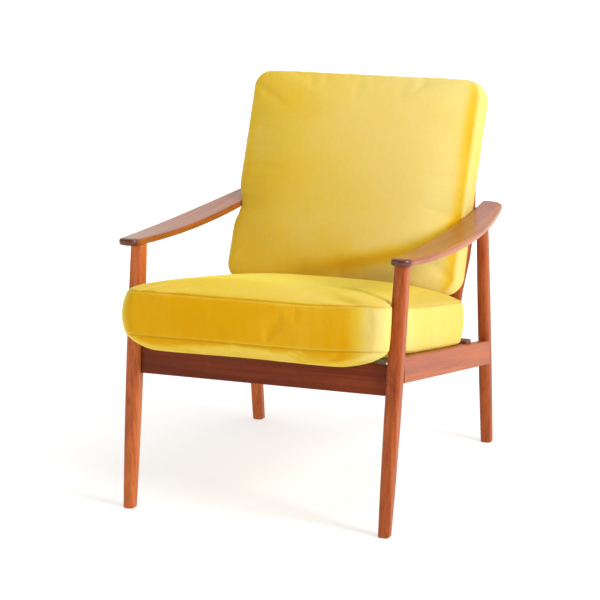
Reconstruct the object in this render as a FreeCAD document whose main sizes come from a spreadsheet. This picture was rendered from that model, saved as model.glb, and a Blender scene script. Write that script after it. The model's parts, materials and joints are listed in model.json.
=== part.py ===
"""Easy chair: an oiled hardwood frame with a loose seat cushion and a loose back cushion.

X points to the sitter's left, Y from front to back and Z up. The origin is on the floor under the middle
of the chair. Lengths are millimetres and angles are degrees. Left-hand pieces lie at positive X, and each
right-hand piece is the mirror image of its left-hand one.
"""

import FreeCAD, Part
import math
import os
import re

import Sketcher

DOC = FreeCAD.newDocument("easy_chair")
SHEET = DOC.addObject("Spreadsheet::Sheet", "sizes")
FINISHED = []

SIZES = {
    # stance
    "feet_spacing": 560.0,
    "stance_depth": 735.0,
    # legs: the axes reach axis_height at the underside of the armrests
    "axis_height": 545.0,
    "front_leg_run": 80.0,
    "back_leg_run": 69.0,
    "leg_splay": 7.0,
    "belly_height": 315.0,
    "front_foot_width": 24.5,
    "front_foot_depth": 28.0,
    "front_belly_width": 30.0,
    "front_belly_depth": 36.0,
    "front_head_width": 28.0,
    "front_head_depth": 33.0,
    "back_foot_width": 25.0,
    "back_foot_depth": 28.0,
    "back_belly_width": 26.5,
    "back_belly_depth": 31.0,
    "back_head_width": 23.5,
    "back_head_depth": 27.0,
    "leg_corner": 9.0,
    "foot_bevel": 1.5,
    "arm_tenon_diameter": 16.0,
    "arm_tenon_length": 6.0,
    # seat frame: seat_height is the side rails' top at the front feet's axis
    "seat_height": 368.6,
    "seat_slope": 10.0,
    "side_rail_depth": 53.5,
    "side_rail_setback": 10.0,
    "rail_round": 3.0,
    "tenon_thickness": 12.0,
    "tenon_shoulder": 10.0,
    "leg_tenon_length": 14.0,
    "front_rail_bottom": 281.0,
    "front_rail_height": 62.0,
    "front_rail_thickness": 22.0,
    "front_rail_face": 37.0,
    "rear_rail_height": 48.0,
    "rear_rail_thickness": 40.0,
    "rear_rail_round": 10.0,
    # armrests
    "arm_front": 30.5,
    "arm_bow": 29.0,
    "arm_sag": 17.0,
    "arm_thickness": 15.0,
    "arm_nose_radius": 19.5,
    "arm_heel_radius": 36.0,
    "arm_edge_round": 4.5,
    # back frame, in its own leaning frame; its base is at the rear rail's top
    "back_lean": 24.2,
    "stile_thickness": 20.0,
    "stile_flare_start": 110.0,
    "stile_flare_end": 190.0,
    "stile_length": 545.0,
    "stile_round": 5.0,
    "stile_top_radius": 14.0,
    "foot_tenon_length": 20.0,
    "foot_tenon_width": 24.0,
    "slat_count": 4.0,
    "slat_height": 42.0,
    "slat_thickness": 9.0,
    "slat_bow": 12.0,
    "slat_tenon": 9.0,
    "first_slat": 75.0,
    "slat_pitch": 95.0,
    "top_rail_height": 60.0,
    "top_rail_thickness": 14.0,
    "top_rail_drop": 8.0,
    "dowel_diameter": 8.0,
    "dowel_length": 34.0,
    # seat suspension, in the seat's sloping frame; depths are below the side rails' top
    "spring_count": 8.0,
    "spring_diameter": 11.0,
    "spring_axis_depth": 20.8,
    "spring_wire": 2.6,
    "hook_bend": 5.0,
    "hook_drop": 6.0,
    "hook_clearance": 0.3,
    "first_spring": 80.0,
    "strip_start": 76.0,
    "strip_thickness": 2.0,
    "strip_shelf": 16.0,
    "strip_height": 20.0,
    "strip_gap": 1.2,
    "screw_count": 4.0,
    "screw_diameter": 3.5,
    "screw_length": 14.0,
    "screw_head_diameter": 7.0,
    "screw_head_height": 2.2,
    "first_screw": 105.0,
    # cushions
    "cushion_clearance": 0.4,
    "seat_cushion_front": -10.0,
    "seat_cushion_bottom": -15.0,
    "seat_cushion_top": 104.0,
    "seat_cushion_corner": 30.0,
    "seat_cushion_round": 20.0,
    "back_cushion_thickness": 78.0,
    "back_cushion_top": 575.0,
    "back_cushion_corner": 38.0,
    "back_cushion_round": 18.0,
    "cover_thickness": 2.5,
    "foam_clearance": 0.3,
    "zip_length": 400.0,
    "zip_width": 8.0,
    "zip_thickness": 1.4,
}


# sizes that follow from the ones above
DERIVED = {
    "origin_setback": "( stance_depth + 48.6 ) / 2",
    "side_rail_inner": "feet_spacing / 2 - 9",
    "side_rail_front_outer": "feet_spacing / 2 + 18.5",
    "side_rail_back_outer": "feet_spacing / 2 + 13",
    "rear_rail_face": "stance_depth - 192",
    "rear_rail_top": "seat_height - 90.6",
    "arm_back": "stance_depth + 3",
    "arm_inner_front": "feet_spacing / 2 - 7.5",
    "arm_inner_back": "feet_spacing / 2 - 20.1",
    "arm_outer_front": "feet_spacing / 2 + 34",
    "arm_outer_back": "feet_spacing / 2 + 29",
    "arm_front_height": "axis_height + 19",
    "arm_back_height": "axis_height + 15",
    "back_base": "stance_depth - 183.1",
    "stile_inner": "feet_spacing / 2 - 62",
    "stile_foot_outer": "feet_spacing / 2 - 26",
    "stile_outer": "feet_spacing / 2 - 19.5",
    "spring_length": "feet_spacing - 90",
    "spring_pitch": "( stance_depth - 329 ) / 7",
    "hook_reach": "feet_spacing / 2 - 18",
    "strip_end": "stance_depth - 207",
    "screw_pitch": "( stance_depth - 360 ) / 3",
    "seat_cushion_width": "feet_spacing - 24",
    "seat_cushion_back": "stance_depth - 195",
    "back_cushion_width": "feet_spacing - 46",
    "back_zip_setback": "stance_depth - 213",
}
NAMES = SIZES.keys() | DERIVED.keys()


# ---------------------------------------------------------------- the sheet and its expressions


def fill_sheet():
    """Write every driving size, then every size that follows from them, to the sheet with its alias."""
    cells = {alias: f"{number:g}" for alias, number in SIZES.items()}
    cells.update({alias: f"={formula}" for alias, formula in DERIVED.items()})
    for row, (alias, content) in enumerate(cells.items(), start=1):
        SHEET.set(f"A{row}", alias)
        SHEET.set(f"B{row}", content)
        SHEET.setAlias(f"B{row}", alias)
    DOC.recompute()


def bind(text):
    """Turn a formula that names sizes into an expression that refers to the sheet."""
    return re.sub(r"[a-z_]+", lambda word: f"sizes.{word[0]}" if word[0] in NAMES else word[0], text)


def value(text):
    """Number that a formula gives with the sheet's present sizes."""
    return float(SHEET.evalExpression(bind(text)))


def spaced(first, pitch, count):
    """Formulas of evenly spaced positions."""
    return [f"{first} + {number} * {pitch}" for number in range(int(value(count)))]


def depth(text):
    """Formula of a global Y, from a distance behind the front feet's axis."""
    return f"( {text} ) - origin_setback"


# ---------------------------------------------------------------- bodies, sketches and features


def new_body(name):
    """Empty PartDesign body."""
    return DOC.addObject("PartDesign::Body", name)


def sketch_on(body, role, offset="0"):
    """New sketch on one of the body's origin planes, moved along the plane's normal by offset."""
    plane = next(item for item in body.Origin.OriginFeatures if item.Role == role)
    sketch = body.newObject("Sketcher::SketchObject", f"{body.Name}_sketch")
    sketch.AttachmentSupport = [(plane, "")]
    sketch.MapMode = "FlatFace"
    sketch.setExpression("AttachmentOffset.Base.z", bind(offset))
    return sketch


def draw_outline(sketch, corners, arcs=None):
    """Closed outline through corners, pairs of formulas; arcs gives some sides a signed sagitta formula.

    A positive sagitta bulges to the right of the direction of travel.
    """
    arcs = arcs or {}
    first = sketch.GeometryCount
    points = [FreeCAD.Vector(value(x), value(y), 0) for x, y in corners]
    count = len(points)
    starts = []
    for side in range(count):
        start, end = points[side], points[(side + 1) % count]
        if side in arcs:
            sketch.addGeometry(bowed_arc(start, end, value(arcs[side])))
            starts.append(1 if value(arcs[side]) > 0 else 2)
        else:
            sketch.addGeometry(Part.LineSegment(start, end))
            starts.append(1)
    for side in range(count):
        after = (side + 1) % count
        join = (first + side, 3 - starts[side], first + after, starts[after])
        sketch.addConstraint(Sketcher.Constraint("Coincident", *join))
    for side, (x, y) in enumerate(corners):
        drive(sketch, "DistanceX", (-1, 1, first + side, starts[side]), x)
        drive(sketch, "DistanceY", (-1, 1, first + side, starts[side]), y)
    for side, sagitta in arcs.items():
        (ax, ay), (bx, by) = corners[side], corners[(side + 1) % count]
        half = f"( ( ( {bx} ) - ( {ax} ) ) ^ 2 + ( ( {by} ) - ( {ay} ) ) ^ 2 ) / 4"
        rise = f"abs({sagitta})"
        drive(sketch, "Radius", (first + side,), f"( {half} ) / ( 2 * {rise} ) + {rise} / 2")


def bowed_arc(start, end, sagitta):
    """Arc between two points; a positive sagitta bulges to the right of the direction of travel."""
    chord = end - start
    right = FreeCAD.Vector(chord.y, -chord.x, 0) / chord.Length
    radius = chord.Length**2 / 8 / abs(sagitta) + abs(sagitta) / 2
    aside = radius - abs(sagitta) if sagitta > 0 else abs(sagitta) - radius
    centre = (start + end) * 0.5 - right * aside
    circle = Part.Circle(centre, FreeCAD.Vector(0, 0, 1), radius)
    low, high = (start, end) if sagitta > 0 else (end, start)
    first, last = circle.parameter(low), circle.parameter(high)
    return Part.ArcOfCircle(circle, first, last if last > first else last + 2 * math.pi)


def drive(sketch, kind, items, formula):
    """Dimension whose value is a formula of the sheet's sizes."""
    index = sketch.addConstraint(Sketcher.Constraint(kind, *items, value(formula)))
    sketch.setExpression(f"Constraints[{index}]", bind(formula))


def rounded_rectangle(sketch, centre, width, height, corner):
    """Closed rectangle with round corners, all sizes given as formulas."""
    x, y = centre
    half_w = f"( {width} ) / 2"
    half_h = f"( {height} ) / 2"
    inner_w = f"( {half_w} - {corner} )"
    inner_h = f"( {half_h} - {corner} )"
    corners = [
        (f"{x} - {inner_w}", f"{y} - {half_h}"),
        (f"{x} + {inner_w}", f"{y} - {half_h}"),
        (f"{x} + {half_w}", f"{y} - {inner_h}"),
        (f"{x} + {half_w}", f"{y} + {inner_h}"),
        (f"{x} + {inner_w}", f"{y} + {half_h}"),
        (f"{x} - {inner_w}", f"{y} + {half_h}"),
        (f"{x} - {half_w}", f"{y} + {inner_h}"),
        (f"{x} - {half_w}", f"{y} - {inner_h}"),
    ]
    rise = f"{corner} * ( 1 - sqrt(0.5) )"
    draw_outline(sketch, corners, {1: rise, 3: rise, 5: rise, 7: rise})


def pad(body, sketch, length, both_ways=False, backwards=False):
    """Pad of the sketch by a formula, along its normal, against it, or half each way."""
    feature = body.newObject("PartDesign::Pad", f"{body.Name}_pad")
    feature.Profile = sketch
    feature.SideType = "Symmetric" if both_ways else "One side"
    feature.Reversed = backwards
    feature.setExpression("Length", bind(length))
    DOC.recompute()
    return feature


def trim_outside(body, role, corners, arcs=None, margin="60"):
    """Saw the body to an outline seen square to one of its origin planes, and keep the inside."""
    before = body.Shape.Volume
    sketch = sketch_on(body, role)
    box = body.Shape.BoundBox
    low = (box.YMin, box.ZMin) if role == "YZ_Plane" else (box.XMin, box.ZMin)
    high = (box.YMax, box.ZMax) if role == "YZ_Plane" else (box.XMax, box.ZMax)
    reach = value(margin)
    waste = [
        (f"{low[0] - reach}", f"{low[1] - reach}"),
        (f"{high[0] + reach}", f"{low[1] - reach}"),
        (f"{high[0] + reach}", f"{high[1] + reach}"),
        (f"{low[0] - reach}", f"{high[1] + reach}"),
    ]
    draw_outline(sketch, waste)
    draw_outline(sketch, corners, arcs)
    feature = body.newObject("PartDesign::Pocket", f"{body.Name}_trim")
    feature.Profile = sketch
    feature.SideType = "Symmetric"
    feature.setExpression("Length", bind("4 * feet_spacing"))
    DOC.recompute()
    if not body.Shape.Volume < before:
        raise RuntimeError(f"{body.Name}: the saw cut removed nothing")


def edge_names(shape, wanted):
    """Names of the shape's edges that pass a test."""
    return [f"Edge{index}" for index, edge in enumerate(shape.Edges, start=1) if wanted(edge)]


def require_built(item):
    """Stop if an object has failed."""
    if not item.isValid() or item.Shape.isNull():
        raise RuntimeError(f"{item.Label} failed: {item.getStatusString()}")


def round_edges(body, radius, wanted):
    """Fillet the body's edges that pass a test, by a formula."""
    names = edge_names(body.Shape, wanted)
    if not names:
        raise RuntimeError(f"{body.Name}: no edges to round")
    base = body.Tip
    feature = body.newObject("PartDesign::Fillet", f"{body.Name}_round")
    feature.Base = (base, names)
    feature.setExpression("Radius", bind(radius))
    DOC.recompute()
    require_built(feature)


def runs_along(edge, axis, share=0.99):
    """Whether the straight line between the edge's ends follows a global axis, 0 to 2."""
    along = edge.valueAt(edge.LastParameter) - edge.valueAt(edge.FirstParameter)
    return along.Length > 1e-6 and abs(along[axis]) >= share * along.Length


def lies_at(edge, axis, position, tolerance=0.05):
    """Whether the whole edge lies at one coordinate of a global axis."""
    box = edge.BoundBox
    low = (box.XMin, box.YMin, box.ZMin)[axis]
    high = (box.XMax, box.YMax, box.ZMax)[axis]
    return abs(low - position) < tolerance and abs(high - position) < tolerance


def place(item, x="0", y="0", z="0", axis=(-1, 0, 0), angle="0"):
    """Put an object at a point given by formulas, turned about an axis by a formula."""
    turn = FreeCAD.Rotation(FreeCAD.Vector(*axis), value(angle))
    item.Placement = FreeCAD.Placement(FreeCAD.Vector(), turn)
    item.setExpression("Placement.Base.x", bind(x))
    item.setExpression("Placement.Base.y", bind(y))
    item.setExpression("Placement.Base.z", bind(z))
    if value(angle):
        item.setExpression("Placement.Rotation.Angle", bind(angle))


def in_seat_frame(item):
    """Place an object whose Y runs down the seat's slope and whose Z is its normal."""
    place(item, y=depth("0"), z="seat_height", angle="seat_slope")


def in_back_frame(item):
    """Place an object whose Z runs up the back's lean and whose Y is its thickness."""
    place(item, y=depth("back_base"), z="rear_rail_top", angle="back_lean")


def box(name, length, width, height):
    """Part box with formula sizes."""
    item = DOC.addObject("Part::Box", name)
    item.setExpression("Length", bind(length))
    item.setExpression("Width", bind(width))
    item.setExpression("Height", bind(height))
    return item


def cylinder(name, diameter, height):
    """Part cylinder with formula sizes, along its own Z."""
    item = DOC.addObject("Part::Cylinder", name)
    item.setExpression("Radius", bind(f"( {diameter} ) / 2"))
    item.setExpression("Height", bind(height))
    return item


def group(name, items):
    """Compound of several solids."""
    item = DOC.addObject("Part::Compound", name)
    item.Links = items
    return item


def cut(name, base, tools):
    """Base less every tool, one after another."""
    for number, tool in enumerate(tools, start=1):
        item = DOC.addObject("Part::Cut", f"{name}_cut_{number}")
        item.Base = base
        item.Tool = tool
        DOC.recompute()
        if not item.isValid() or not item.Shape.Solids:
            raise RuntimeError(f"{name}: cut {number} failed, {item.getStatusString()}")
        base = item
    return item


def mirror(name, source):
    """Mirror image of an object on the other side of the chair."""
    item = DOC.addObject("Part::Mirroring", name)
    item.Source = source
    item.Normal = FreeCAD.Vector(1, 0, 0)
    return item


def finish(name, item):
    """Mark an object as a finished sub-part and give it its label."""
    item.Label = name
    FINISHED.append(item)
    return item


def finish_pair(name, left):
    """Finish a left-hand sub-part and its mirror image on the right."""
    finish(f"{name}_left", left)
    return finish(f"{name}_right", mirror(f"{name}_right", left))


# ---------------------------------------------------------------- legs


def leg_section(body, kind, station, height, foot_y, run, splay, less="0"):
    """Rounded cross-section of a leg at a height above the floor."""
    sketch = sketch_on(body, "XY_Plane", height)
    x = f"feet_spacing / 2 + {splay} * {height} / axis_height"
    y = depth(f"{foot_y} + {run} * {height} / axis_height")
    width = f"{kind}_{station}_width - 2 * {less}"
    deep = f"{kind}_{station}_depth - 2 * {less}"
    rounded_rectangle(sketch, (x, y), width, deep, f"( leg_corner - {less} )")
    return sketch


def leg_blank(kind, foot_y, run, splay):
    """Leg shaped through rounded sections: a bevelled toe, then foot, belly and head."""
    body = new_body(f"{kind}_leg_blank")
    line = (foot_y, run, splay)
    toe = leg_section(body, kind, "foot", "0", *line, less="foot_bevel")
    foot = leg_section(body, kind, "foot", "foot_bevel", *line)
    belly = leg_section(body, kind, "belly", "belly_height", *line)
    head = leg_section(body, kind, "head", "( axis_height + arm_tenon_length )", *line)
    for name, profile, sections in (("shaft", foot, [belly, head]), ("toe", toe, [foot])):
        loft = body.newObject("PartDesign::AdditiveLoft", f"{kind}_leg_{name}")
        loft.Profile = profile
        loft.Sections = sections
        DOC.recompute()
        require_built(loft)
    return body


def arm_tenon(kind, foot_y, run, splay):
    """Round tenon at a leg's head, as the hole that it fills in the armrest."""
    reach = "axis_height - 30"
    tenon = cylinder(f"{kind}_arm_tenon", "arm_tenon_diameter", "30 + arm_tenon_length")
    x = f"feet_spacing / 2 + {splay}"
    place(tenon, x=x, y=depth(f"{foot_y} + {run}"), z=reach)
    return tenon


# ---------------------------------------------------------------- armrests


def armrest_blank():
    """Armrest sawn to its bowed plan, then to its sagging side profile, with rounded edges."""
    body = new_body("armrest_blank")
    plan = sketch_on(body, "XY_Plane", "arm_back_height - arm_sag - arm_thickness - 20")
    corners = [
        ("arm_inner_front", depth("arm_front")),
        ("arm_outer_front", depth("arm_front")),
        ("arm_outer_back", depth("arm_back")),
        ("arm_inner_back", depth("arm_back")),
    ]
    draw_outline(plan, corners, {1: "arm_bow"})
    pad(body, plan, "arm_sag + arm_thickness + 60")
    front, back = value(depth("arm_front")), value(depth("arm_back"))
    middle = value("( arm_inner_front + arm_outer_front ) / 2")
    upright = lambda edge: runs_along(edge, 2)
    start = lambda edge: edge.valueAt(edge.FirstParameter)
    round_edges(body, "arm_nose_radius", lambda edge: upright(edge) and abs(start(edge).y - front) < 1)
    is_heel = lambda edge: upright(edge) and abs(start(edge).y - back) < 1 and start(edge).x > middle
    round_edges(body, "arm_heel_radius", is_heel)
    ends = [(depth("arm_front - 5"), "arm_front_height"), (depth("arm_back + 5"), "arm_back_height")]
    profile = [
        (ends[0][0], f"{ends[0][1]} - arm_thickness"),
        (ends[1][0], f"{ends[1][1]} - arm_thickness"),
        ends[1],
        ends[0],
    ]
    trim_outside(body, "YZ_Plane", profile, {0: "arm_sag", 2: "0 - arm_sag"})
    round_edges(body, "arm_edge_round", lambda edge: not runs_along(edge, 2, 0.9))
    return body


# ---------------------------------------------------------------- seat frame


def side_rail_blank():
    """Side rail sawn to its tapering plan, then to its sloping side profile."""
    body = new_body("side_rail_blank")
    front = "front_leg_run * seat_height / axis_height + side_rail_setback"
    back = "stance_depth - back_leg_run * 0.45"
    plan = sketch_on(body, "XY_Plane", "seat_height - 220")
    corners = [
        ("side_rail_inner", depth(front)),
        ("side_rail_front_outer", depth(front)),
        ("side_rail_back_outer", depth(back)),
        ("side_rail_inner", depth(back)),
    ]
    draw_outline(plan, corners)
    pad(body, plan, "230")
    top = lambda y: f"seat_height - ( {y} ) * tan(seat_slope * 1 deg)"
    below = "side_rail_depth / cos(seat_slope * 1 deg)"
    ends = [f"( {front} ) - 5", f"( {back} ) + 5"]
    profile = [
        (depth(ends[0]), f"{top(ends[0])} - {below}"),
        (depth(ends[1]), f"{top(ends[1])} - {below}"),
        (depth(ends[1]), top(ends[1])),
        (depth(ends[0]), top(ends[0])),
    ]
    trim_outside(body, "YZ_Plane", profile)
    round_edges(body, "rail_round", lambda edge: runs_along(edge, 1, 0.9))
    return body


def side_rail_tenons():
    """Core of the side rail: its tenons, as the mortises that they fill in both legs."""
    start = "front_leg_run * seat_height / axis_height + side_rail_setback"
    length = f"( stance_depth - back_leg_run * 0.45 - ( {start} ) ) / cos(seat_slope * 1 deg)"
    high = "side_rail_depth - 2 * tenon_shoulder"
    core = box("side_rail_tenons", "tenon_thickness", length, high)
    x = "side_rail_inner + 4"
    rise = f"seat_height - ( {start} ) * tan(seat_slope * 1 deg) - side_rail_depth + tenon_shoulder"
    place(core, x=x, y=depth(start), z=rise, angle="seat_slope")
    return core


def front_rail_blank():
    """Front rail, tilted with the front legs, as long as its tenons reach."""
    body = new_body("front_rail_blank")
    sketch = sketch_on(body, "YZ_Plane")
    thick, high = "front_rail_thickness", "front_rail_height"
    draw_outline(sketch, [("0", "0"), (thick, "0"), (thick, high), ("0", high)])
    pad(body, sketch, "2 * ( side_rail_inner + leg_tenon_length - 2 )", both_ways=True)
    round_edges(body, "rail_round", lambda edge: runs_along(edge, 0))
    tilt = "atan(front_leg_run / axis_height) / 1 deg"
    place(body, y=depth("front_rail_face"), z="front_rail_bottom", angle=tilt)
    return body


def front_rail_tenons():
    """Core of the front rail: its tenons, as the mortises that they fill in both front legs."""
    length = "2 * ( side_rail_inner + leg_tenon_length - 2 )"
    core = box("front_rail_tenons", length, "tenon_thickness", "front_rail_height - 2 * tenon_shoulder")
    tilt = "atan(front_leg_run / axis_height) / 1 deg"
    y = "front_rail_face + ( front_rail_thickness - tenon_thickness ) / 2"
    place(core, x=f"0 - {length} / 2", y=depth(y), z="front_rail_bottom + tenon_shoulder", angle=tilt)
    return core


def rear_rail_blank():
    """Rear rail between the side rails, with well rounded long edges, as long as its tenons reach."""
    body = new_body("rear_rail_blank")
    sketch = sketch_on(body, "YZ_Plane")
    low = "rear_rail_top - rear_rail_height"
    face = depth("rear_rail_face")
    back = depth("rear_rail_face + rear_rail_thickness")
    draw_outline(sketch, [(face, low), (back, low), (back, "rear_rail_top"), (face, "rear_rail_top")])
    pad(body, sketch, "2 * ( side_rail_inner + leg_tenon_length - 2 )", both_ways=True)
    round_edges(body, "rear_rail_round", lambda edge: runs_along(edge, 0))
    return body


def rear_rail_tenons():
    """Core of the rear rail: its tenons, as the mortises that they fill in both side rails."""
    length = "2 * ( side_rail_inner + leg_tenon_length - 2 )"
    core = box("rear_rail_tenons", length, "tenon_thickness", "rear_rail_height - 2 * tenon_shoulder - 8")
    y = "rear_rail_face + ( rear_rail_thickness - tenon_thickness ) / 2"
    z = "rear_rail_top - rear_rail_height + tenon_shoulder"
    place(core, x=f"0 - {length} / 2", y=depth(y), z=z)
    return core


# ---------------------------------------------------------------- back frame


def stile_blank():
    """Back stile sawn to its flared front view out of an even board; its foot tenon reaches below zero."""
    body = new_body("stile_blank")
    sketch = sketch_on(body, "XZ_Plane")
    corners = [
        ("stile_inner", "0 - foot_tenon_length"),
        ("stile_foot_outer", "0 - foot_tenon_length"),
        ("stile_foot_outer", "stile_flare_start"),
        ("stile_outer", "stile_flare_end"),
        ("stile_outer", "stile_length"),
        ("stile_inner", "stile_length"),
    ]
    draw_outline(sketch, corners)
    pad(body, sketch, "stile_thickness", backwards=True)
    top = value("stile_length")
    round_edges(body, "stile_top_radius", lambda edge: runs_along(edge, 1) and lies_at(edge, 2, top))
    is_long = lambda edge: runs_along(edge, 2, 0.98)
    round_edges(body, "stile_round", is_long)
    in_back_frame(body)
    return body


def stile_foot_tenon():
    """Tenon at the stile's foot, as the mortise that it fills in the rear rail."""
    core = box("stile_foot_tenon", "foot_tenon_width", "tenon_thickness", "foot_tenon_length + 12")
    inset = "( stile_foot_outer - stile_inner - foot_tenon_width ) / 2"
    off = "( stile_thickness - tenon_thickness ) / 2"
    lean = "back_lean * 1 deg"
    y = f"back_base + {off} * cos({lean}) - foot_tenon_length * sin({lean})"
    z = f"rear_rail_top - {off} * sin({lean}) - foot_tenon_length * cos({lean})"
    place(core, x=f"stile_inner + {inset}", y=depth(y), z=z, angle="back_lean")
    return core


def bowed_slat(name, height, thickness, rise):
    """Slat or rail between the stiles, bowed to the rear in plan, whole section let into both stiles."""
    body = new_body(name)
    sketch = sketch_on(body, "XY_Plane", rise)
    reach = "stile_inner + slat_tenon"
    front = f"( stile_thickness - {thickness} ) / 2"
    corners = [
        (f"0 - ( {reach} )", front),
        (reach, front),
        (reach, f"{front} + {thickness}"),
        (f"0 - ( {reach} )", f"{front} + {thickness}"),
    ]
    draw_outline(sketch, corners, {0: "0 - slat_bow", 2: "slat_bow"})
    pad(body, sketch, height)
    round_edges(body, "rail_round", lambda edge: abs(edge.Length) > value("stile_inner"))
    in_back_frame(body)
    return body


# ---------------------------------------------------------------- seat suspension


def spring(name, position):
    """Tension spring across the seat: a close coil, two straight tails and a hook at each end."""
    body = new_body(name)
    sketch = sketch_on(body, "XZ_Plane", f"0 - ( {position} )")
    axis = "0 - spring_axis_depth"
    neck = "spring_length / 2 + spring_diameter / 2"
    tail = "spring_wire / 2"
    reach = "hook_reach - hook_bend"
    corners = [
        (f"0 - ( {reach} )", axis),
        (reach, axis),
        (reach, f"{axis} + {tail}"),
        (neck, f"{axis} + {tail}"),
        ("spring_length / 2", f"{axis} + spring_diameter / 2"),
        ("0 - spring_length / 2", f"{axis} + spring_diameter / 2"),
        (f"0 - ( {neck} )", f"{axis} + {tail}"),
        (f"0 - ( {reach} )", f"{axis} + {tail}"),
    ]
    draw_outline(sketch, corners)
    coil = body.newObject("PartDesign::Revolution", f"{name}_coil")
    coil.Profile = sketch
    coil.ReferenceAxis = (sketch, ["Edge1"])
    coil.Angle = 360
    DOC.recompute()
    for sign in (1, -1):
        spring_hook(body, position, sign)
    in_seat_frame(body)
    return body


def spring_hook(body, position, sign):
    """Wire hook at one end of a spring: a straight lead, a quarter bend and a drop."""
    side = "" if sign > 0 else "0 - "
    axis = "0 - spring_axis_depth"
    path = sketch_on(body, "XZ_Plane", f"0 - ( {position} )")
    bend_x = sign * value("hook_reach - hook_bend")
    axis_z = value(axis)
    fall = FreeCAD.Vector(sign * value("hook_reach"), axis_z - value("hook_bend"), 0)
    centre = FreeCAD.Vector(bend_x, fall.y, 0)
    quarter = (0, math.pi / 2) if sign > 0 else (math.pi / 2, math.pi)
    circle = Part.Circle(centre, FreeCAD.Vector(0, 0, 1), value("hook_bend"))
    begin = FreeCAD.Vector(bend_x - 2 * sign, axis_z, 0)
    path.addGeometry(Part.LineSegment(begin, FreeCAD.Vector(bend_x, axis_z, 0)))
    path.addGeometry(Part.ArcOfCircle(circle, *quarter))
    path.addGeometry(Part.LineSegment(fall, fall - FreeCAD.Vector(0, value("hook_drop"), 0)))
    near, far = (2, 1) if sign > 0 else (1, 2)
    path.addConstraint(Sketcher.Constraint("Tangent", 0, 2, 1, near))
    path.addConstraint(Sketcher.Constraint("Tangent", 1, far, 2, 1))
    path.addConstraint(Sketcher.Constraint("Horizontal", 0))
    path.addConstraint(Sketcher.Constraint("Vertical", 2))
    start = f"{side} ( hook_reach - hook_bend - 2 )"
    drive(path, "DistanceX", (-1, 1, 0, 1), start)
    drive(path, "DistanceY", (-1, 1, 0, 1), axis)
    drive(path, "DistanceX", (-1, 1, 2, 1), f"{side} hook_reach")
    drive(path, "Radius", (1,), "hook_bend")
    drive(path, "DistanceY", (2, 2, 2, 1), "hook_drop")
    section = sketch_on(body, "YZ_Plane", start)
    wire_centre = FreeCAD.Vector(value(position), axis_z, 0)
    section.addGeometry(Part.Circle(wire_centre, FreeCAD.Vector(0, 0, 1), value("spring_wire / 2")))
    drive(section, "DistanceX", (-1, 1, 0, 3), position)
    drive(section, "DistanceY", (-1, 1, 0, 3), axis)
    drive(section, "Radius", (0,), "spring_wire / 2")
    DOC.recompute()
    hook = body.newObject("PartDesign::AdditivePipe", f"{body.Name}_hook")
    hook.Profile = section
    hook.Spine = path
    DOC.recompute()
    require_built(hook)


def spring_strip(spring_positions):
    """Angle-steel strip on the side rail's inner face, with a hole for each spring's hook."""
    body = new_body("spring_strip_left_blank")
    sketch = sketch_on(body, "XZ_Plane", "0 - strip_start")
    shelf = "0 - spring_axis_depth - spring_wire / 2 - strip_gap"
    wall = "side_rail_inner - strip_thickness"
    corners = [
        ("side_rail_inner - strip_shelf", f"{shelf} - strip_thickness"),
        (wall, f"{shelf} - strip_thickness"),
        (wall, f"{shelf} - strip_height"),
        ("side_rail_inner", f"{shelf} - strip_height"),
        ("side_rail_inner", shelf),
        ("side_rail_inner - strip_shelf", shelf),
    ]
    draw_outline(sketch, corners)
    pad(body, sketch, "strip_end - strip_start", backwards=True)
    before = body.Shape.Volume
    holes = sketch_on(body, "XY_Plane")
    for number, position in enumerate(spring_positions):
        centre = FreeCAD.Vector(value("hook_reach"), value(position), 0)
        radius = "spring_wire / 2 + hook_clearance"
        holes.addGeometry(Part.Circle(centre, FreeCAD.Vector(0, 0, 1), value(radius)))
        drive(holes, "DistanceX", (-1, 1, number, 3), "hook_reach")
        drive(holes, "DistanceY", (-1, 1, number, 3), position)
        drive(holes, "Radius", (number,), radius)
    pocket = body.newObject("PartDesign::Pocket", "spring_strip_hook_holes")
    pocket.Profile = holes
    pocket.SideType = "Symmetric"
    pocket.setExpression("Length", bind("4 * spring_axis_depth"))
    DOC.recompute()
    if not body.Shape.Volume < before:
        raise RuntimeError("the spring strip has no hook holes")
    in_seat_frame(body)
    return body


def strip_screw(name, position):
    """Round-headed wood screw through the strip into the side rail."""
    body = new_body(name)
    sketch = sketch_on(body, "XZ_Plane", f"0 - ( {position} )")
    axis = "0 - spring_axis_depth - strip_gap - strip_height / 2 - 2"
    face = "side_rail_inner - strip_thickness"
    corners = [
        (f"{face} - screw_head_height", axis),
        (f"{face} + screw_length", axis),
        (f"{face} + screw_length - 3", f"{axis} + screw_diameter / 2"),
        (face, f"{axis} + screw_diameter / 2"),
        (face, f"{axis} + screw_head_diameter / 2"),
        (f"{face} - screw_head_height / 2", f"{axis} + screw_head_diameter / 2"),
        (f"{face} - screw_head_height", f"{axis} + screw_head_diameter / 4"),
    ]
    draw_outline(sketch, corners)
    turned = body.newObject("PartDesign::Revolution", f"{name}_turned")
    turned.Profile = sketch
    turned.ReferenceAxis = (sketch, ["Edge1"])
    turned.Angle = 360
    DOC.recompute()
    in_seat_frame(body)
    return body


# ---------------------------------------------------------------- cushions


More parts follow.
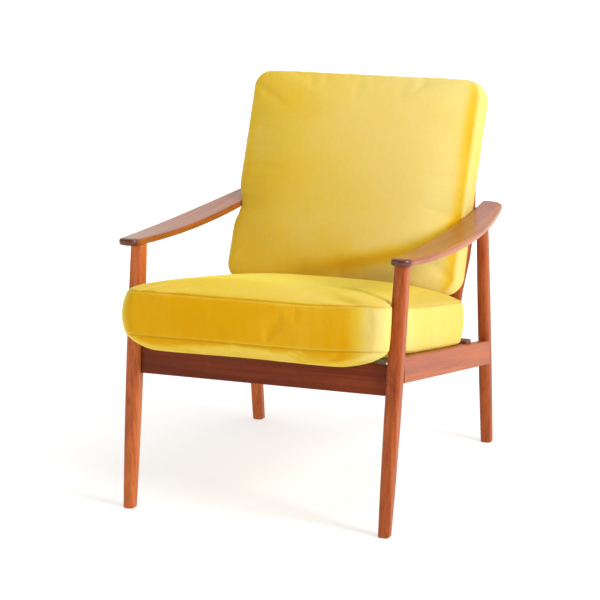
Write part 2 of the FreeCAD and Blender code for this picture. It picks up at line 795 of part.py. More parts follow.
def seat_cushion(name, inset):
    """Boxed seat cushion between the front legs, on the springs, drawn in by inset on every side."""
    body = new_body(name)
    sketch = sketch_on(body, "XY_Plane", f"seat_cushion_bottom + {inset}")
    half = f"( seat_cushion_width / 2 - {inset} )"
    front = f"seat_cushion_front + {inset}"
    back = f"seat_cushion_back - {inset}"
    draw_outline(sketch, [(f"0 - {half}", front), (half, front), (half, back), (f"0 - {half}", back)])
    pad(body, sketch, f"seat_cushion_top - seat_cushion_bottom - 2 * ( {inset} )")
    round_edges(body, f"seat_cushion_corner - {inset}", lambda edge: runs_along(edge, 2))
    round_edges(body, f"seat_cushion_round - {inset}", lambda edge: not runs_along(edge, 2, 0.9))
    in_seat_frame(body)
    return body


def back_cushion(name, inset):
    """Boxed back cushion against the back frame; its foot is cut parallel to the seat cushion's top."""
    body = new_body(name)
    sketch = sketch_on(body, "YZ_Plane")
    rear = f"0 - cushion_clearance - {inset}"
    front = f"0 - cushion_clearance - back_cushion_thickness + {inset}"
    top = f"back_cushion_top - {inset}"
    foot = lambda across: (
        "( seat_height - rear_rail_top - back_base * tan(seat_slope * 1 deg)"
        f" + ( seat_cushion_top + cushion_clearance + {inset} ) / cos(seat_slope * 1 deg) )"
        " * cos(seat_slope * 1 deg) / cos(( back_lean - seat_slope ) * 1 deg)"
        f" + ( {across} ) * tan(( back_lean - seat_slope ) * 1 deg)"
    )
    draw_outline(sketch, [(front, foot(front)), (rear, foot(rear)), (rear, top), (front, top)])
    pad(body, sketch, f"back_cushion_width - 2 * ( {inset} )", both_ways=True)
    is_corner = lambda edge: not runs_along(edge, 0, 0.9) and not runs_along(edge, 2, 0.9)
    round_edges(body, f"back_cushion_corner - {inset}", is_corner)
    is_seam = lambda edge: edge.Length > 45 - value(inset)
    round_edges(body, f"back_cushion_round - {inset}", is_seam)
    in_back_frame(body)
    return body


def build():
    """Build every sub-part and leave the finished ones in FINISHED."""
    fill_sheet()
    front = ("front", "0", "front_leg_run", "leg_splay")
    back = ("back", "stance_depth", "( 0 - back_leg_run )", "0")

    dowel = cylinder("arm_dowel_left", "dowel_diameter", "dowel_length")
    lean = "back_lean * 1 deg"
    reach = "( arm_back_height - 5 - arm_thickness / 2 - rear_rail_top )"
    y = f"back_base + {reach} * tan({lean}) + stile_thickness / 2 / cos({lean})"
    dowel.Placement = FreeCAD.Placement(FreeCAD.Vector(), FreeCAD.Rotation(FreeCAD.Vector(0, 1, 0), 90))
    dowel.setExpression("Placement.Base.x", bind("stile_outer + 0.5 - dowel_length / 2"))
    dowel.setExpression("Placement.Base.y", bind(depth(y)))
    dowel.setExpression("Placement.Base.z", bind(f"rear_rail_top + {reach}"))

    armrest = cut("armrest_left", armrest_blank(), [arm_tenon(*front), arm_tenon(*back), dowel])
    side_core = side_rail_tenons()
    front_core = front_rail_tenons()
    rear_core = rear_rail_tenons()
    front_leg = cut("front_leg_left", leg_blank(*front), [armrest, side_core, front_core])
    back_leg = cut("back_leg_left", leg_blank(*back), [armrest, side_core])

    screw_positions = spaced("first_screw", "screw_pitch", "screw_count")
    screws = [strip_screw(f"strip_screw_{number + 1}", at) for number, at in enumerate(screw_positions)]
    screw_group = group("strip_screws_left", screws)
    side_rail = cut("side_rail_left", side_rail_blank(), [front_leg, back_leg, rear_core, *screws])
    side_rails = [side_rail, mirror("side_rail_cutter", side_rail)]
    front_legs = [front_leg, mirror("front_leg_cutter", front_leg)]
    front_rail = cut("front_rail", front_rail_blank(), [*front_legs, *side_rails])

    foot_tenon = stile_foot_tenon()
    foot_tenons = [foot_tenon, mirror("stile_foot_tenon_right", foot_tenon)]
    rear_rail = cut("rear_rail", rear_rail_blank(), [*side_rails, *foot_tenons])

    rises = spaced("first_slat", "slat_pitch", "slat_count")
    slats = [
        bowed_slat(f"back_slat_{number + 1}", "slat_height", "slat_thickness", rise)
        for number, rise in enumerate(rises)
    ]
    top_rise = "stile_length - top_rail_drop - top_rail_height"
    top_rail = bowed_slat("back_top_rail", "top_rail_height", "top_rail_thickness", top_rise)
    stile = cut("back_stile_left", stile_blank(), [rear_rail, dowel, top_rail, *slats])

    positions = spaced("first_spring", "spring_pitch", "spring_count")
    springs = [spring(f"seat_spring_{number + 1}", at) for number, at in enumerate(positions)]
    strip_blank = spring_strip(positions)
    strip = cut("spring_strip_left", strip_blank, [screw_group])

    finish_pair("front_leg", front_leg)
    finish_pair("back_leg", back_leg)
    finish_pair("side_rail", side_rail)
    finish("front_rail", front_rail)
    finish("rear_rail", rear_rail)
    finish_pair("armrest", armrest)
    finish_pair("back_stile", stile)
    finish("back_top_rail", top_rail)
    for slat in slats:
        finish(slat.Name, slat)
    finish_pair("arm_dowel", dowel)
    finish_pair("spring_strip", strip)
    finish_pair("strip_screws", screw_group)
    for item in springs:
        finish(item.Name, item)
    build_cushions()


def cushion_zip(kind, y, z):
    """Zip set flush in a cover, across the chair, with one corner at a point of the seat's frame."""
    strip = box(f"{kind}_cushion_zip", "zip_length", "zip_width", "zip_thickness")
    slope = "seat_slope * 1 deg"
    place(strip, angle="seat_slope")
    across = f"( {y} ) * cos({slope}) + ( {z} ) * sin({slope})"
    rise = f"seat_height - ( {y} ) * sin({slope}) + ( {z} ) * cos({slope})"
    strip.setExpression("Placement.Base.x", bind("0 - zip_length / 2"))
    strip.setExpression("Placement.Base.y", bind(depth(across)))
    strip.setExpression("Placement.Base.z", bind(rise))
    return strip


def build_cushions():
    """Covers, foam cores and zips of both cushions."""
    foot = "seat_cushion_top + cushion_clearance"
    middle = "( seat_cushion_top + seat_cushion_bottom ) / 2"
    seat_zip = cushion_zip("seat", "seat_cushion_back - zip_thickness", middle)
    seat_zip.setExpression("Width", bind("zip_thickness"))
    seat_zip.setExpression("Height", bind("zip_width"))
    back_zip = cushion_zip("back", "back_zip_setback", foot)
    for kind, maker, strip in (("seat", seat_cushion, seat_zip), ("back", back_cushion, back_zip)):
        outer = maker(f"{kind}_cushion_outer", "0")
        cavity = maker(f"{kind}_cushion_cavity", "cover_thickness")
        foam = maker(f"{kind}_cushion_foam", "( cover_thickness + foam_clearance )")
        finish(f"{kind}_cushion_cover", cut(f"{kind}_cushion_cover", outer, [cavity, strip]))
        finish(f"{kind}_cushion_foam", foam)
        finish(f"{kind}_cushion_zip", strip)


def check_and_export():
    """Stop on any failed object, then write one STEP file for each finished sub-part."""
    DOC.recompute()
    failed = [item.Label for item in DOC.Objects if "Invalid" in item.State or "Error" in item.State]
    if failed:
        raise RuntimeError(f"failed objects: {failed}")
    os.makedirs("parts", exist_ok=True)
    for item in FINISHED:
        if item.Shape.isNull() or not item.Shape.isValid():
            raise RuntimeError(f"{item.Label} has no valid shape")
        item.Shape.exportStep(f"parts/{item.Label}.step")
        print(f"{item.Label}: {len(item.Shape.Solids)} solids, {item.Shape.Volume / 1000:.1f} cm3")


build()
check_and_export()
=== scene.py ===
"""Easy chair: its velvet cushions, its springs and every finish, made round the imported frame.

Lengths are metres. X points to the sitter's left, Y from front to back and Z up, as in the frame.
"""

import json
import logging
import math
from dataclasses import dataclass
from enum import Enum

import bmesh
import bpy
from mathutils import Matrix, Vector

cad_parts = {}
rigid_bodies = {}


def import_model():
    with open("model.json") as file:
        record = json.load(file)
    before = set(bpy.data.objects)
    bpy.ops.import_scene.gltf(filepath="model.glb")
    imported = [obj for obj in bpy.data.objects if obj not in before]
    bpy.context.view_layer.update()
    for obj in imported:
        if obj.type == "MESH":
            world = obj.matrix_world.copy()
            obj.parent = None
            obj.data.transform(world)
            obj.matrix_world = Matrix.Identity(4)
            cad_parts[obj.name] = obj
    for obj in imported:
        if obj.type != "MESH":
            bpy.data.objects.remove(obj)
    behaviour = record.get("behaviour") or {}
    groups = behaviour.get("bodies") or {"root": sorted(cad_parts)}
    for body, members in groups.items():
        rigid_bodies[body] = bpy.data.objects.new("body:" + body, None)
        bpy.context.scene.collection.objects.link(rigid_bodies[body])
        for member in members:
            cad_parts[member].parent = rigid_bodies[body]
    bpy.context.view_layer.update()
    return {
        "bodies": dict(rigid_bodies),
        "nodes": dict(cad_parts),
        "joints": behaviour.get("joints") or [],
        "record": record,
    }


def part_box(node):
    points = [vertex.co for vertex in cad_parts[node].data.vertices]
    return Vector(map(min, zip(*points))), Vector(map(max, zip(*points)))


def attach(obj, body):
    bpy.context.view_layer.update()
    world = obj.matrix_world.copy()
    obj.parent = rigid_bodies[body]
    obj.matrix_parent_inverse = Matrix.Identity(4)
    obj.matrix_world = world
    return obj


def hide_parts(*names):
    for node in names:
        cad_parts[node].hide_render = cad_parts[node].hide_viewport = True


log = logging.getLogger("easy_chair")

Triple = tuple[float, float, float]
Socket = bpy.types.NodeSocket
Shape = bmesh.types.BMesh
Finish = bpy.types.Material
Piece = bpy.types.Object
Source = Socket | float

SETBACK = 0.3918
SEAT_RISE = 0.3686
SEAT_SLOPE = math.radians(10.0)
BACK_LEAN = math.radians(24.2)
BACK_FOOT = Vector((0.0, 0.5519 - SETBACK, 0.278))


class Grain(Enum):
    """Way the wood's fibres run, as the turn that brings them upright."""

    UPRIGHT = (0.0, 0.0, 0.0)
    FRONT_TO_BACK = (math.pi / 2, 0.0, 0.0)
    DOWN_THE_SEAT = (math.pi / 2 + SEAT_SLOPE, 0.0, 0.0)
    UP_THE_BACK = (BACK_LEAN, 0.0, 0.0)
    ACROSS = (0.0, math.pi / 2, 0.0)


# ---------------------------------------------------------------- finishes


GREYS = [(0.0, (0, 0, 0)), (1.0, (1, 1, 1))]


class Recipe:
    """The node tree of a material or of the surroundings, written one node at a time."""

    def __init__(self, owner: Finish | bpy.types.World) -> None:
        """Start an empty tree.

        Args:
            owner: the material or the surroundings that the tree belongs to.
        """
        self.owner = owner
        self.owner.use_nodes = True
        self.tree = self.owner.node_tree
        self.tree.nodes.clear()
        self.place = self.node("ShaderNodeTexCoord").outputs["Object"]

    def node(self, kind: str, inputs: dict | None = None, **settings: object) -> bpy.types.Node:
        """Add a node.

        Args:
            kind: the node's type.
            inputs: value or source socket for each named or numbered input.
            settings: the node's own settings.

        Returns:
            The new node.
        """
        made = self.tree.nodes.new(kind)
        for key, setting in settings.items():
            setattr(made, key, setting)
        for key, source in (inputs or {}).items():
            if isinstance(source, Socket):
                self.tree.links.new(source, made.inputs[key])
            else:
                made.inputs[key].default_value = source
        return made

    def stretched(self, scale: Triple, turn: Triple = (0.0, 0.0, 0.0)) -> Socket:
        """Object coordinates turned, then stretched.

        Args:
            scale: repeats per metre along each turned axis.
            turn: turn about each axis, in radians.

        Returns:
            The vector socket.
        """
        turned = self.node("ShaderNodeMapping", {"Vector": self.place, "Rotation": turn})
        return self.node("ShaderNodeMapping", {"Vector": turned.outputs[0], "Scale": scale}).outputs[0]

    def clouds(
        self, vector: Socket, scale: float = 1.0, detail: float = 4.0, rough: float = 0.55, warp: float = 0.0,
    ) -> Socket:
        """Noise between 0 and 1.

        Args:
            vector: where the pattern is read.
            scale: repeats per unit of the vector.
            detail: number of finer layers.
            rough: strength of the finer layers.
            warp: distortion of the pattern.

        Returns:
            The factor socket.
        """
        inputs = {"Vector": vector, "Scale": scale, "Detail": detail, "Roughness": rough, "Distortion": warp}
        return self.node("ShaderNodeTexNoise", inputs).outputs["Fac"]

    def math(self, operation: str, first: Source, second: Source, clamp: bool = False) -> Socket:
        """Arithmetic on one or two values.

        Args:
            operation: the operation's name.
            first: first value or socket.
            second: second value or socket.
            clamp: whether the result is kept between 0 and 1.

        Returns:
            The result socket.
        """
        terms = {0: first, 1: second}
        return self.node("ShaderNodeMath", terms, operation=operation, use_clamp=clamp).outputs[0]

    def spread(
        self, value: Socket, low: float, high: float, to_low: float = 0.0, to_high: float = 1.0,
    ) -> Socket:
        """Map a value's range to another, clamped.

        Args:
            value: the socket to map.
            low: value that becomes to_low.
            high: value that becomes to_high.
            to_low: result at low.
            to_high: result at high.

        Returns:
            The result socket.
        """
        inputs = {"Value": value, "From Min": low, "From Max": high, "To Min": to_low, "To Max": to_high}
        return self.node("ShaderNodeMapRange", inputs).outputs["Result"]

    def ramp(self, value: Socket, stops: list[tuple[float, Triple]]) -> Socket:
        """Colour from a value.

        Args:
            value: the factor socket.
            stops: positions and their colours.

        Returns:
            The colour socket.
        """
        made = self.node("ShaderNodeValToRGB", {"Fac": value})
        elements = made.color_ramp.elements
        while len(elements) < len(stops):
            elements.new(0.5)
        for element, (position, colour) in zip(elements, stops):
            element.position = position
            element.color = (*colour, 1.0)
        return made.outputs["Color"]

    def blend(self, share: Source, first: Socket, second: Socket | Triple, mode: str = "MIX") -> Socket:
        """Mix two colours.

        Args:
            share: how much of the second shows, a number or a socket.
            first: socket of the first colour.
            second: second colour or its socket.
            mode: the blend mode.

        Returns:
            The colour socket.
        """
        made = self.node("ShaderNodeMix", data_type="RGBA", blend_type=mode)
        for socket, source in ((0, share), (6, first), (7, second)):
            if isinstance(source, Socket):
                self.tree.links.new(source, made.inputs[socket])
            else:
                made.inputs[socket].default_value = (*source, 1.0) if isinstance(source, tuple) else source
        return made.outputs[2]

    def bump(
        self, height: Socket, strength: float, distance: float, normal: Socket | None = None,
    ) -> Socket:
        """Relief from a height.

        Args:
            height: the height socket.
            strength: how strongly it shows.
            distance: height of the relief in metres.
            normal: relief that this one is added to.

        Returns:
            The normal socket.
        """
        inputs = {"Height": height, "Strength": strength, "Distance": distance}
        if normal is not None:
            inputs["Normal"] = normal
        return self.node("ShaderNodeBump", inputs).outputs["Normal"]

    def shade(self, inputs: dict) -> Finish:
        """Close the tree with a principled shader.

        Args:
            inputs: value or source socket for each of the shader's inputs.

        Returns:
            The finished material.
        """
        shader = self.node("ShaderNodeBsdfPrincipled", inputs)
        self.node("ShaderNodeOutputMaterial", {"Surface": shader.outputs[0]})
        return self.owner


def recipe_for(name: str) -> Recipe:
    """An empty recipe for a new material of this name."""
    return Recipe(bpy.data.materials.new(name))


@dataclass(frozen=True)
class OiledTeak:
    """Oiled teak: reddish brown, darker streaks, fine long fibres and open pores."""

    board: str
    dark: Triple
    middle: Triple
    light: Triple
    roughness: float
    gloss: float
    relief: float = 0.16
    contrast: float = 1.0
    swing: float = 0.04
    nose: float | None = None
    nose_fade: float = 0.022
    # colour of the armrest's front end: end grain that took more oil, and painted shade on the nose that
    # faces the front
    end_grain_and_painted_shade: Triple = (0.075, 0.010, 0.003)
    bare: Triple = (0.560, 0.330, 0.190)

    def material(self, grain: Grain) -> Finish:
        """Teak with its fibres running one way.

        Args:
            grain: the way the fibres run.

        Returns:
            The material.
        """
        recipe = recipe_for(f"{self.board}_teak_{grain.name.lower()}")
        turn = grain.value
        figure = recipe.clouds(recipe.stretched((26.0, 26.0, 1.3), turn), detail=3.0, rough=0.5, warp=1.2)
        streaks = recipe.clouds(recipe.stretched((190.0, 190.0, 3.0), turn), detail=4.0, rough=0.6, warp=0.4)
        fibres = recipe.clouds(recipe.stretched((900.0, 900.0, 14.0), turn), detail=3.0, rough=0.65)
        pores = recipe.clouds(recipe.stretched((1700.0, 1700.0, 80.0), turn), detail=1.0, rough=0.4)
        broad, narrow = recipe.math("MULTIPLY", figure, 0.60), recipe.math("MULTIPLY", streaks, 0.40)
        tone = recipe.spread(recipe.math("ADD", broad, narrow), 0.32, 0.68)
        colour = recipe.ramp(tone, [(0.0, self.dark), (0.45, self.middle), (1.0, self.light)])
        fine = recipe.spread(fibres, 0.3, 0.7, 1.0 - 0.16 * self.contrast, 1.0 + 0.08 * self.contrast)
        colour = recipe.blend(1.0, colour, recipe.ramp(fine, GREYS), "MULTIPLY")
        pore = recipe.spread(pores, 0.62, 0.72)
        shade = tuple(0.35 * channel for channel in self.dark)
        colour = recipe.blend(recipe.math("MULTIPLY", pore, 0.45 * self.contrast), colour, shade)
        nicks = recipe.node(
            "ShaderNodeTexVoronoi", {"Vector": recipe.stretched((17.0, 17.0, 9.0), turn), "Scale": 1.0},
        ).outputs["Distance"]
        nicked = recipe.spread(nicks, 0.010, 0.024, 0.65 * self.contrast, 0.0)
        colour = recipe.blend(nicked, colour, self.bare)
        # darker front end: end grain that took more oil, and painted shade on the nose that faces the front
        if self.nose is not None:
            depth = recipe.node("ShaderNodeSeparateXYZ", {0: recipe.place}).outputs["Y"]
            end_grain_and_painted_shade_share = recipe.spread(depth, self.nose, self.nose + self.nose_fade, 0.92, 0.0)
            colour = recipe.blend(end_grain_and_painted_shade_share, colour, self.end_grain_and_painted_shade)
        raised, sunk = recipe.math("MULTIPLY", fibres, 0.5), recipe.math("MULTIPLY", pore, 0.7)
        height = recipe.math("SUBTRACT", raised, sunk)
        rough = recipe.spread(figure, 0.3, 0.7, self.roughness - self.swing, self.roughness + self.swing)
        return recipe.shade({
            "Base Color": colour,
            "Roughness": rough,
            "Normal": recipe.bump(height, self.relief, 0.0002),
            "Specular IOR Level": self.gloss,
        })


FAIR_BOARD = OiledTeak(
    "fair", (0.225, 0.042, 0.009), (0.370, 0.080, 0.018), (0.500, 0.130, 0.032),
    0.40, 0.16,
)
# lighter copy of the fair teak for the sitter's right legs: painted light
PAINTED_LIGHT_TEAK = OiledTeak(
    "pale", (0.330, 0.060, 0.012), (0.520, 0.125, 0.026), (0.660, 0.190, 0.045),
    0.40, 0.20,
)
# darker teak for the rails and the back slat: partly a darker board, partly painted shade under the cushions
DARK_BOARD_WITH_PAINTED_SHADE = OiledTeak(
    "dark", (0.085, 0.013, 0.003), (0.155, 0.024, 0.006), (0.235, 0.043, 0.011),
    0.40, 0.14,
)
ARM_BOARD = OiledTeak(
    "arm", (0.180, 0.033, 0.006), (0.340, 0.082, 0.013), (0.470, 0.142, 0.028), 0.28, 0.50,
    relief=0.02, contrast=0.4, swing=0.0, nose=-0.352,
)


@dataclass(frozen=True)
class BareBeech:
    """Bare beech, as dowels are made of."""

    pale: Triple = (0.56, 0.36, 0.20)
    flecked: Triple = (0.38, 0.21, 0.10)

    def material(self) -> Finish:
        """Beech with short flecks along the dowel.

        Returns:
            The material.
        """
        recipe = recipe_for("bare_beech")
        flecks = recipe.clouds(recipe.stretched((60.0, 900.0, 900.0)), detail=2.0)
        colour = recipe.ramp(recipe.spread(flecks, 0.4, 0.68), [(0.0, self.pale), (1.0, self.flecked)])
        return recipe.shade({
            "Base Color": colour, "Roughness": 0.62, "Normal": recipe.bump(flecks, 0.2, 0.0002),
        })


@dataclass(frozen=True)
class Steel:
    """Plain steel with light scratches and, where it is raw, dull stains."""

    name: str
    bright: Triple
    stained: Triple
    roughness: float
    metallic: float = 1.0

    def material(self) -> Finish:
        """Steel of this finish.

        Returns:
            The material.
        """
        recipe = recipe_for(self.name)
        stains = recipe.clouds(recipe.place, scale=40.0, detail=5.0, rough=0.65)
        scratches = recipe.clouds(recipe.stretched((60.0, 900.0, 900.0)), detail=2.0)
        colour = recipe.ramp(recipe.spread(stains, 0.4, 0.7), [(0.0, self.bright), (1.0, self.stained)])
        rough = recipe.spread(stains, 0.35, 0.7, self.roughness - 0.07, self.roughness + 0.14)
        return recipe.shade({
            "Base Color": colour, "Metallic": self.metallic, "Roughness": rough,
            "Normal": recipe.bump(scratches, 0.15, 0.0001),
        })


@dataclass(frozen=True)
class Velvet:
    """Short-pile yellow velvet: deep gold, painted paler where light and sheen fall, and painted darker in
    its seams.
    """

    # deep is the velvet's own gold; middle and pale are that gold under painted light and painted sheen
    deep: Triple = (0.660, 0.325, 0.0005)
    middle: Triple = (0.710, 0.470, 0.040)
    pale: Triple = (0.728, 0.575, 0.190)
    # seam: painted shade in the seam valleys, partly the pile pressed flat at the seam
    seam: Triple = (0.430, 0.200, 0.001)
    sheen: Triple = (1.0, 0.93, 0.12)

    def material(self) -> Finish:
        """Velvet whose painted seam shade and painted light are read from the mesh's own attributes.

        Returns:
            The material.
        """
        recipe = recipe_for("yellow_velvet")
        brushed = recipe.clouds(recipe.stretched((5.0, 6.0, 4.0)), detail=2.0, rough=0.45, warp=0.6)
        strokes = recipe.clouds(recipe.stretched((60.0, 40.0, 11.0)), detail=3.0, rough=0.5, warp=0.3)
        pile = recipe.clouds(recipe.place, scale=1500.0, detail=2.0, rough=0.6)
        pile_nap_and_painted_light = recipe.clouds(recipe.place, scale=260.0, detail=3.0, rough=0.6)
        # painted light and painted sheen from the mesh's attribute, with random brushed drift and streaks
        # added below
        painted_light = recipe.node("ShaderNodeAttribute", attribute_name="pile_nap_and_painted_light").outputs["Fac"]
        drift = recipe.spread(brushed, 0.25, 0.75, -0.13, 0.13)
        streak = recipe.spread(strokes, 0.25, 0.75, -0.05, 0.05)
        tone = recipe.math("ADD", recipe.math("ADD", painted_light, drift), streak, clamp=True)
        colour = recipe.ramp(tone, [(0.0, self.deep), (0.5, self.middle), (1.0, self.pale)])
        grain = recipe.spread(recipe.math("ADD", pile, pile_nap_and_painted_light), 0.7, 1.3, 0.93, 1.05)
        colour = recipe.blend(1.0, colour, recipe.ramp(grain, GREYS), "MULTIPLY")
        # painted shade in the seam valleys, partly the pile pressed flat at the seam
        seam = recipe.node("ShaderNodeAttribute", attribute_name="seam").outputs["Fac"]
        colour = recipe.blend(recipe.math("MULTIPLY", seam, 0.50), colour, self.seam)
        dents = recipe.clouds(recipe.place, scale=18.0, detail=2.0, rough=0.5)
        normal = recipe.bump(dents, 0.15, 0.004)
        tufts = recipe.math("ADD", recipe.math("MULTIPLY", pile_nap_and_painted_light, 0.6), pile)
        normal = recipe.bump(tufts, 0.35, 0.0006, normal)
        return recipe.shade({
            "Base Color": colour,
            "Roughness": 0.75,
            "Specular IOR Level": 0.06,
            "Sheen Weight": 0.60,
            "Sheen Roughness": 0.42,
            "Sheen Tint": (*self.sheen, 1.0),
            "Normal": normal,
        })


@dataclass(frozen=True)
class Foam:
    """Cream open-cell foam."""

    colour: Triple = (0.80, 0.72, 0.50)

    def material(self) -> Finish:
        """Foam with small cells.

        Returns:
            The material.
        """
        recipe = recipe_for("cream_foam")
        voronoi = recipe.node("ShaderNodeTexVoronoi", {"Vector": recipe.place, "Scale": 700.0})
        cells = voronoi.outputs["Distance"]
        shadow = tuple(0.6 * channel for channel in self.colour)
        colour = recipe.ramp(recipe.spread(cells, 0.1, 0.6), [(0.0, shadow), (1.0, self.colour)])
        relief = recipe.bump(cells, 0.5, 0.0008)
        return recipe.shade({"Base Color": colour, "Roughness": 0.95, "Normal": relief})


# ---------------------------------------------------------------- making pieces


def new_piece(name: str, shape: Shape, finish: Finish) -> Piece:
    """Turn a bmesh into a smooth-shaded object and free the bmesh.

    Args:
        name: the object's name.
        shape: the mesh to keep.
        finish: its material.

    Returns:
        The new object.
    """
    mesh = bpy.data.meshes.new(name)
    shape.to_mesh(mesh)
    shape.free()
    mesh.materials.append(finish)
    mesh.shade_smooth()
    piece = bpy.data.objects.new(name, mesh)
    bpy.context.scene.collection.objects.link(piece)
    return piece


def verts_in(made: list) -> list[bmesh.types.BMVert]:
    """The vertices among what an operator made."""
    return [item for item in made if isinstance(item, bmesh.types.BMVert)]


def edges_in(made: list) -> list[bmesh.types.BMEdge]:
    """The edges among what an operator made."""
    return [item for item in made if isinstance(item, bmesh.types.BMEdge)]


def soft_limit(value: float, limit: float, soft: float = 0.006) -> float:
    """Keep a value under a limit that it comes near smoothly.

    Args:
        value: the value.
        limit: what it stays under.
        soft: how far before the limit it starts to slow.

    Returns:
        The limited value.
    """
    start = limit - soft
    return start + soft * math.tanh((value - start) / soft) if value > start else value


def smoothstep(low: float, high: float, value: float) -> float:
    """Smooth rise from 0 at low to 1 at high.

    Args:
        low: value where the rise starts.
        high: value where it ends.
        value: where it is read.

    Returns:
        The share between 0 and 1.
    """
    share = min(1.0, max(0.0, (value - low) / (high - low)))
    return share * share * (3.0 - 2.0 * share)


# ---------------------------------------------------------------- cushions


CLOTH = {
    "quality": 5, "mass": 0.3, "tension_stiffness": 22.0, "compression_stiffness": 22.0,
    "shear_stiffness": 8.0, "bending_stiffness": 2.5, "use_pressure": True,
}


@dataclass
class Cushion:
    """Boxed cushion: two crowned panels joined by a boxing strip that is seamed on both edges.

    Its own coordinates are x across, u along the panels and w from one panel to the other.
    """

    name: str
    body: str
    half_width: float
    u_range: tuple[float, float]
    w_range: tuple[float, float]
    corner: float
    frame: Matrix
    covers: str
    core: str
    cuts: tuple[int, int, int] = (84, 84, 16)
    corner_share: float = 0.12
    pressure: float = 4.0
    seam_hold: float = 0.45
    frames: int = 20
    reach: float = 0.022
    crown: tuple[float, float] = (0.006, 0.026)
    fullness: float = 8.0
    bulge: float = 0.008
    shift: float = 0.0
    seam_width: float = 0.0024
    seam_depth: float = 0.0016
    # seam_shade: how much painted shade the seam valleys get
    seam_shade: float = 1.0
    cover_room: float = 0.005

    def block(self) -> Shape:
        """Box with a grid on every side, in a cube from -1 to 1.

        Returns:
            The box, with its two seam loops marked as seam edges.
        """
        shape = bmesh.new()
        bmesh.ops.create_cube(shape, size=2.0)
        for axis, cuts in enumerate(self.cuts):
            runs = [edge for edge in shape.edges if abs((edge.verts[1].co - edge.verts[0].co)[axis]) > 1e-6]
            bmesh.ops.subdivide_edges(shape, edges=runs, cuts=cuts, use_grid_fill=True)
        for edge in shape.edges:
            edge.seam = all(
                abs(abs(vert.co.z) - 1.0) < 1e-6 and max(abs(vert.co.x), abs(vert.co.y)) > 1.0 - 1e-6
                for vert in edge.verts
            ) and len({face.normal.to_tuple(1) for face in edge.link_faces}) == 2
        return shape

    def plan(self, across: float, along: float, bulge: float) -> tuple[float, float]:
        """Place of a point of the unit square in the rounded plan.

        Args:
            across: -1 to 1 across the cushion.
            along: -1 to 1 along it.
            bulge: how far the plan stands out there past its seams.

        Returns:
            x and u.
        """
        share = (along + 1.0) / 2.0
        low, high = self.u_range[0] - bulge, self.u_range[1] + bulge
        end = min(share, 1.0 - share)
        if end < self.corner_share:
            angle = end / self.corner_share * math.pi / 2
            inset = self.corner * (1.0 - math.cos(angle))
            half = self.half_width + bulge - self.corner + self.corner * math.sin(angle)
        else:
            straight = (end - self.corner_share) / (1.0 - 2.0 * self.corner_share)
            inset = self.corner + straight * (high - low - 2.0 * self.corner)
            half = self.half_width + bulge
        return across * half, low + inset if share < 0.5 else high - inset

    def drape(self, x: float, u: float, w: float) -> Vector:
        """Change a point of the plain boxed shape into the cushion's own; each kind has its own way.

        Args:
            x: place across the cushion.
            u: place along it.
            w: place through its thickness.

        Returns:
            The changed point.
        """
        return Vector((x, u, w))

    def belly(self, u: float) -> float:
        """Hang of the under panel below its seams.

        Args:
            u: place along the cushion.

        Returns:
            How far it hangs there.
        """
        return self.crown[0]

    def settle(self, point: Vector) -> Vector:
        """Keep a swollen point out of what the cushion touches; each kind has its own neighbours.

        Args:
            point: the point in the cushion's own coordinates.

        Returns:
            The settled point.
        """
        return point

    def shaped(self) -> Shape:
        """The cushion before it swells.

        Returns:
            The shape in its own coordinates.
        """
        shape = self.block()
        low, high = self.w_range
        for vert in shape.verts:
            across, along, level = vert.co
            x, u = self.plan(across, along, self.bulge * (1.0 - level * level))
            w = low + (high - low) * (level + 1.0) / 2.0
            inner = (1.0 - abs(across) ** self.fullness) * (1.0 - abs(along) ** self.fullness)
            rise = self.crown[1] if level > 0.999 else -self.belly(u) if level < -0.999 else 0.0
            vert.co = self.drape(x + self.shift, u, w + rise * inner)
        return shape

    def swell(self, piece: Piece) -> None:
        """Fill the cover with air as cloth, let it wrinkle, and keep its shape.

        Args:
            piece: the cushion's object, changed in place.
        """
        before = [vert.co.copy() for vert in piece.data.vertices]
        hold = piece.vertex_groups.new(name="hold")
        seam_points = {index for edge in piece.data.edges if edge.use_seam for index in edge.vertices}
        hold.add(sorted(seam_points), self.seam_hold, "REPLACE")
        cloth = piece.modifiers.new("cloth", "CLOTH")
        for setting, value in CLOTH.items():
            setattr(cloth.settings, setting, value)
        cloth.settings.uniform_pressure_force = self.pressure
        cloth.settings.effector_weights.gravity = 0.0
        cloth.settings.vertex_group_mass = "hold"
        cloth.collision_settings.use_collision = False
        scene = bpy.context.scene
        cloth.point_cache.frame_start, cloth.point_cache.frame_end = 1, self.frames
        for frame in range(1, self.frames + 1):
            scene.frame_set(frame)
        swollen = piece.evaluated_get(bpy.context.evaluated_depsgraph_get())
        after = [vert.co.copy() for vert in swollen.to_mesh().vertices]
        swollen.to_mesh_clear()
        piece.modifiers.remove(cloth)
        piece.vertex_groups.clear()
        scene.frame_set(1)
        for vert, start, end in zip(piece.data.vertices, before, after):
            move = end - start
            if move.length > 1e-9:
                move *= self.reach * math.tanh(move.length / self.reach) / move.length
            vert.co = start + move
        moves = [(end - start).length for start, end in zip(before, after)]
        mean = sum(moves) / len(moves)
        log.info("%s swelled by %.4f on average, %.4f at most", self.name, mean, max(moves))

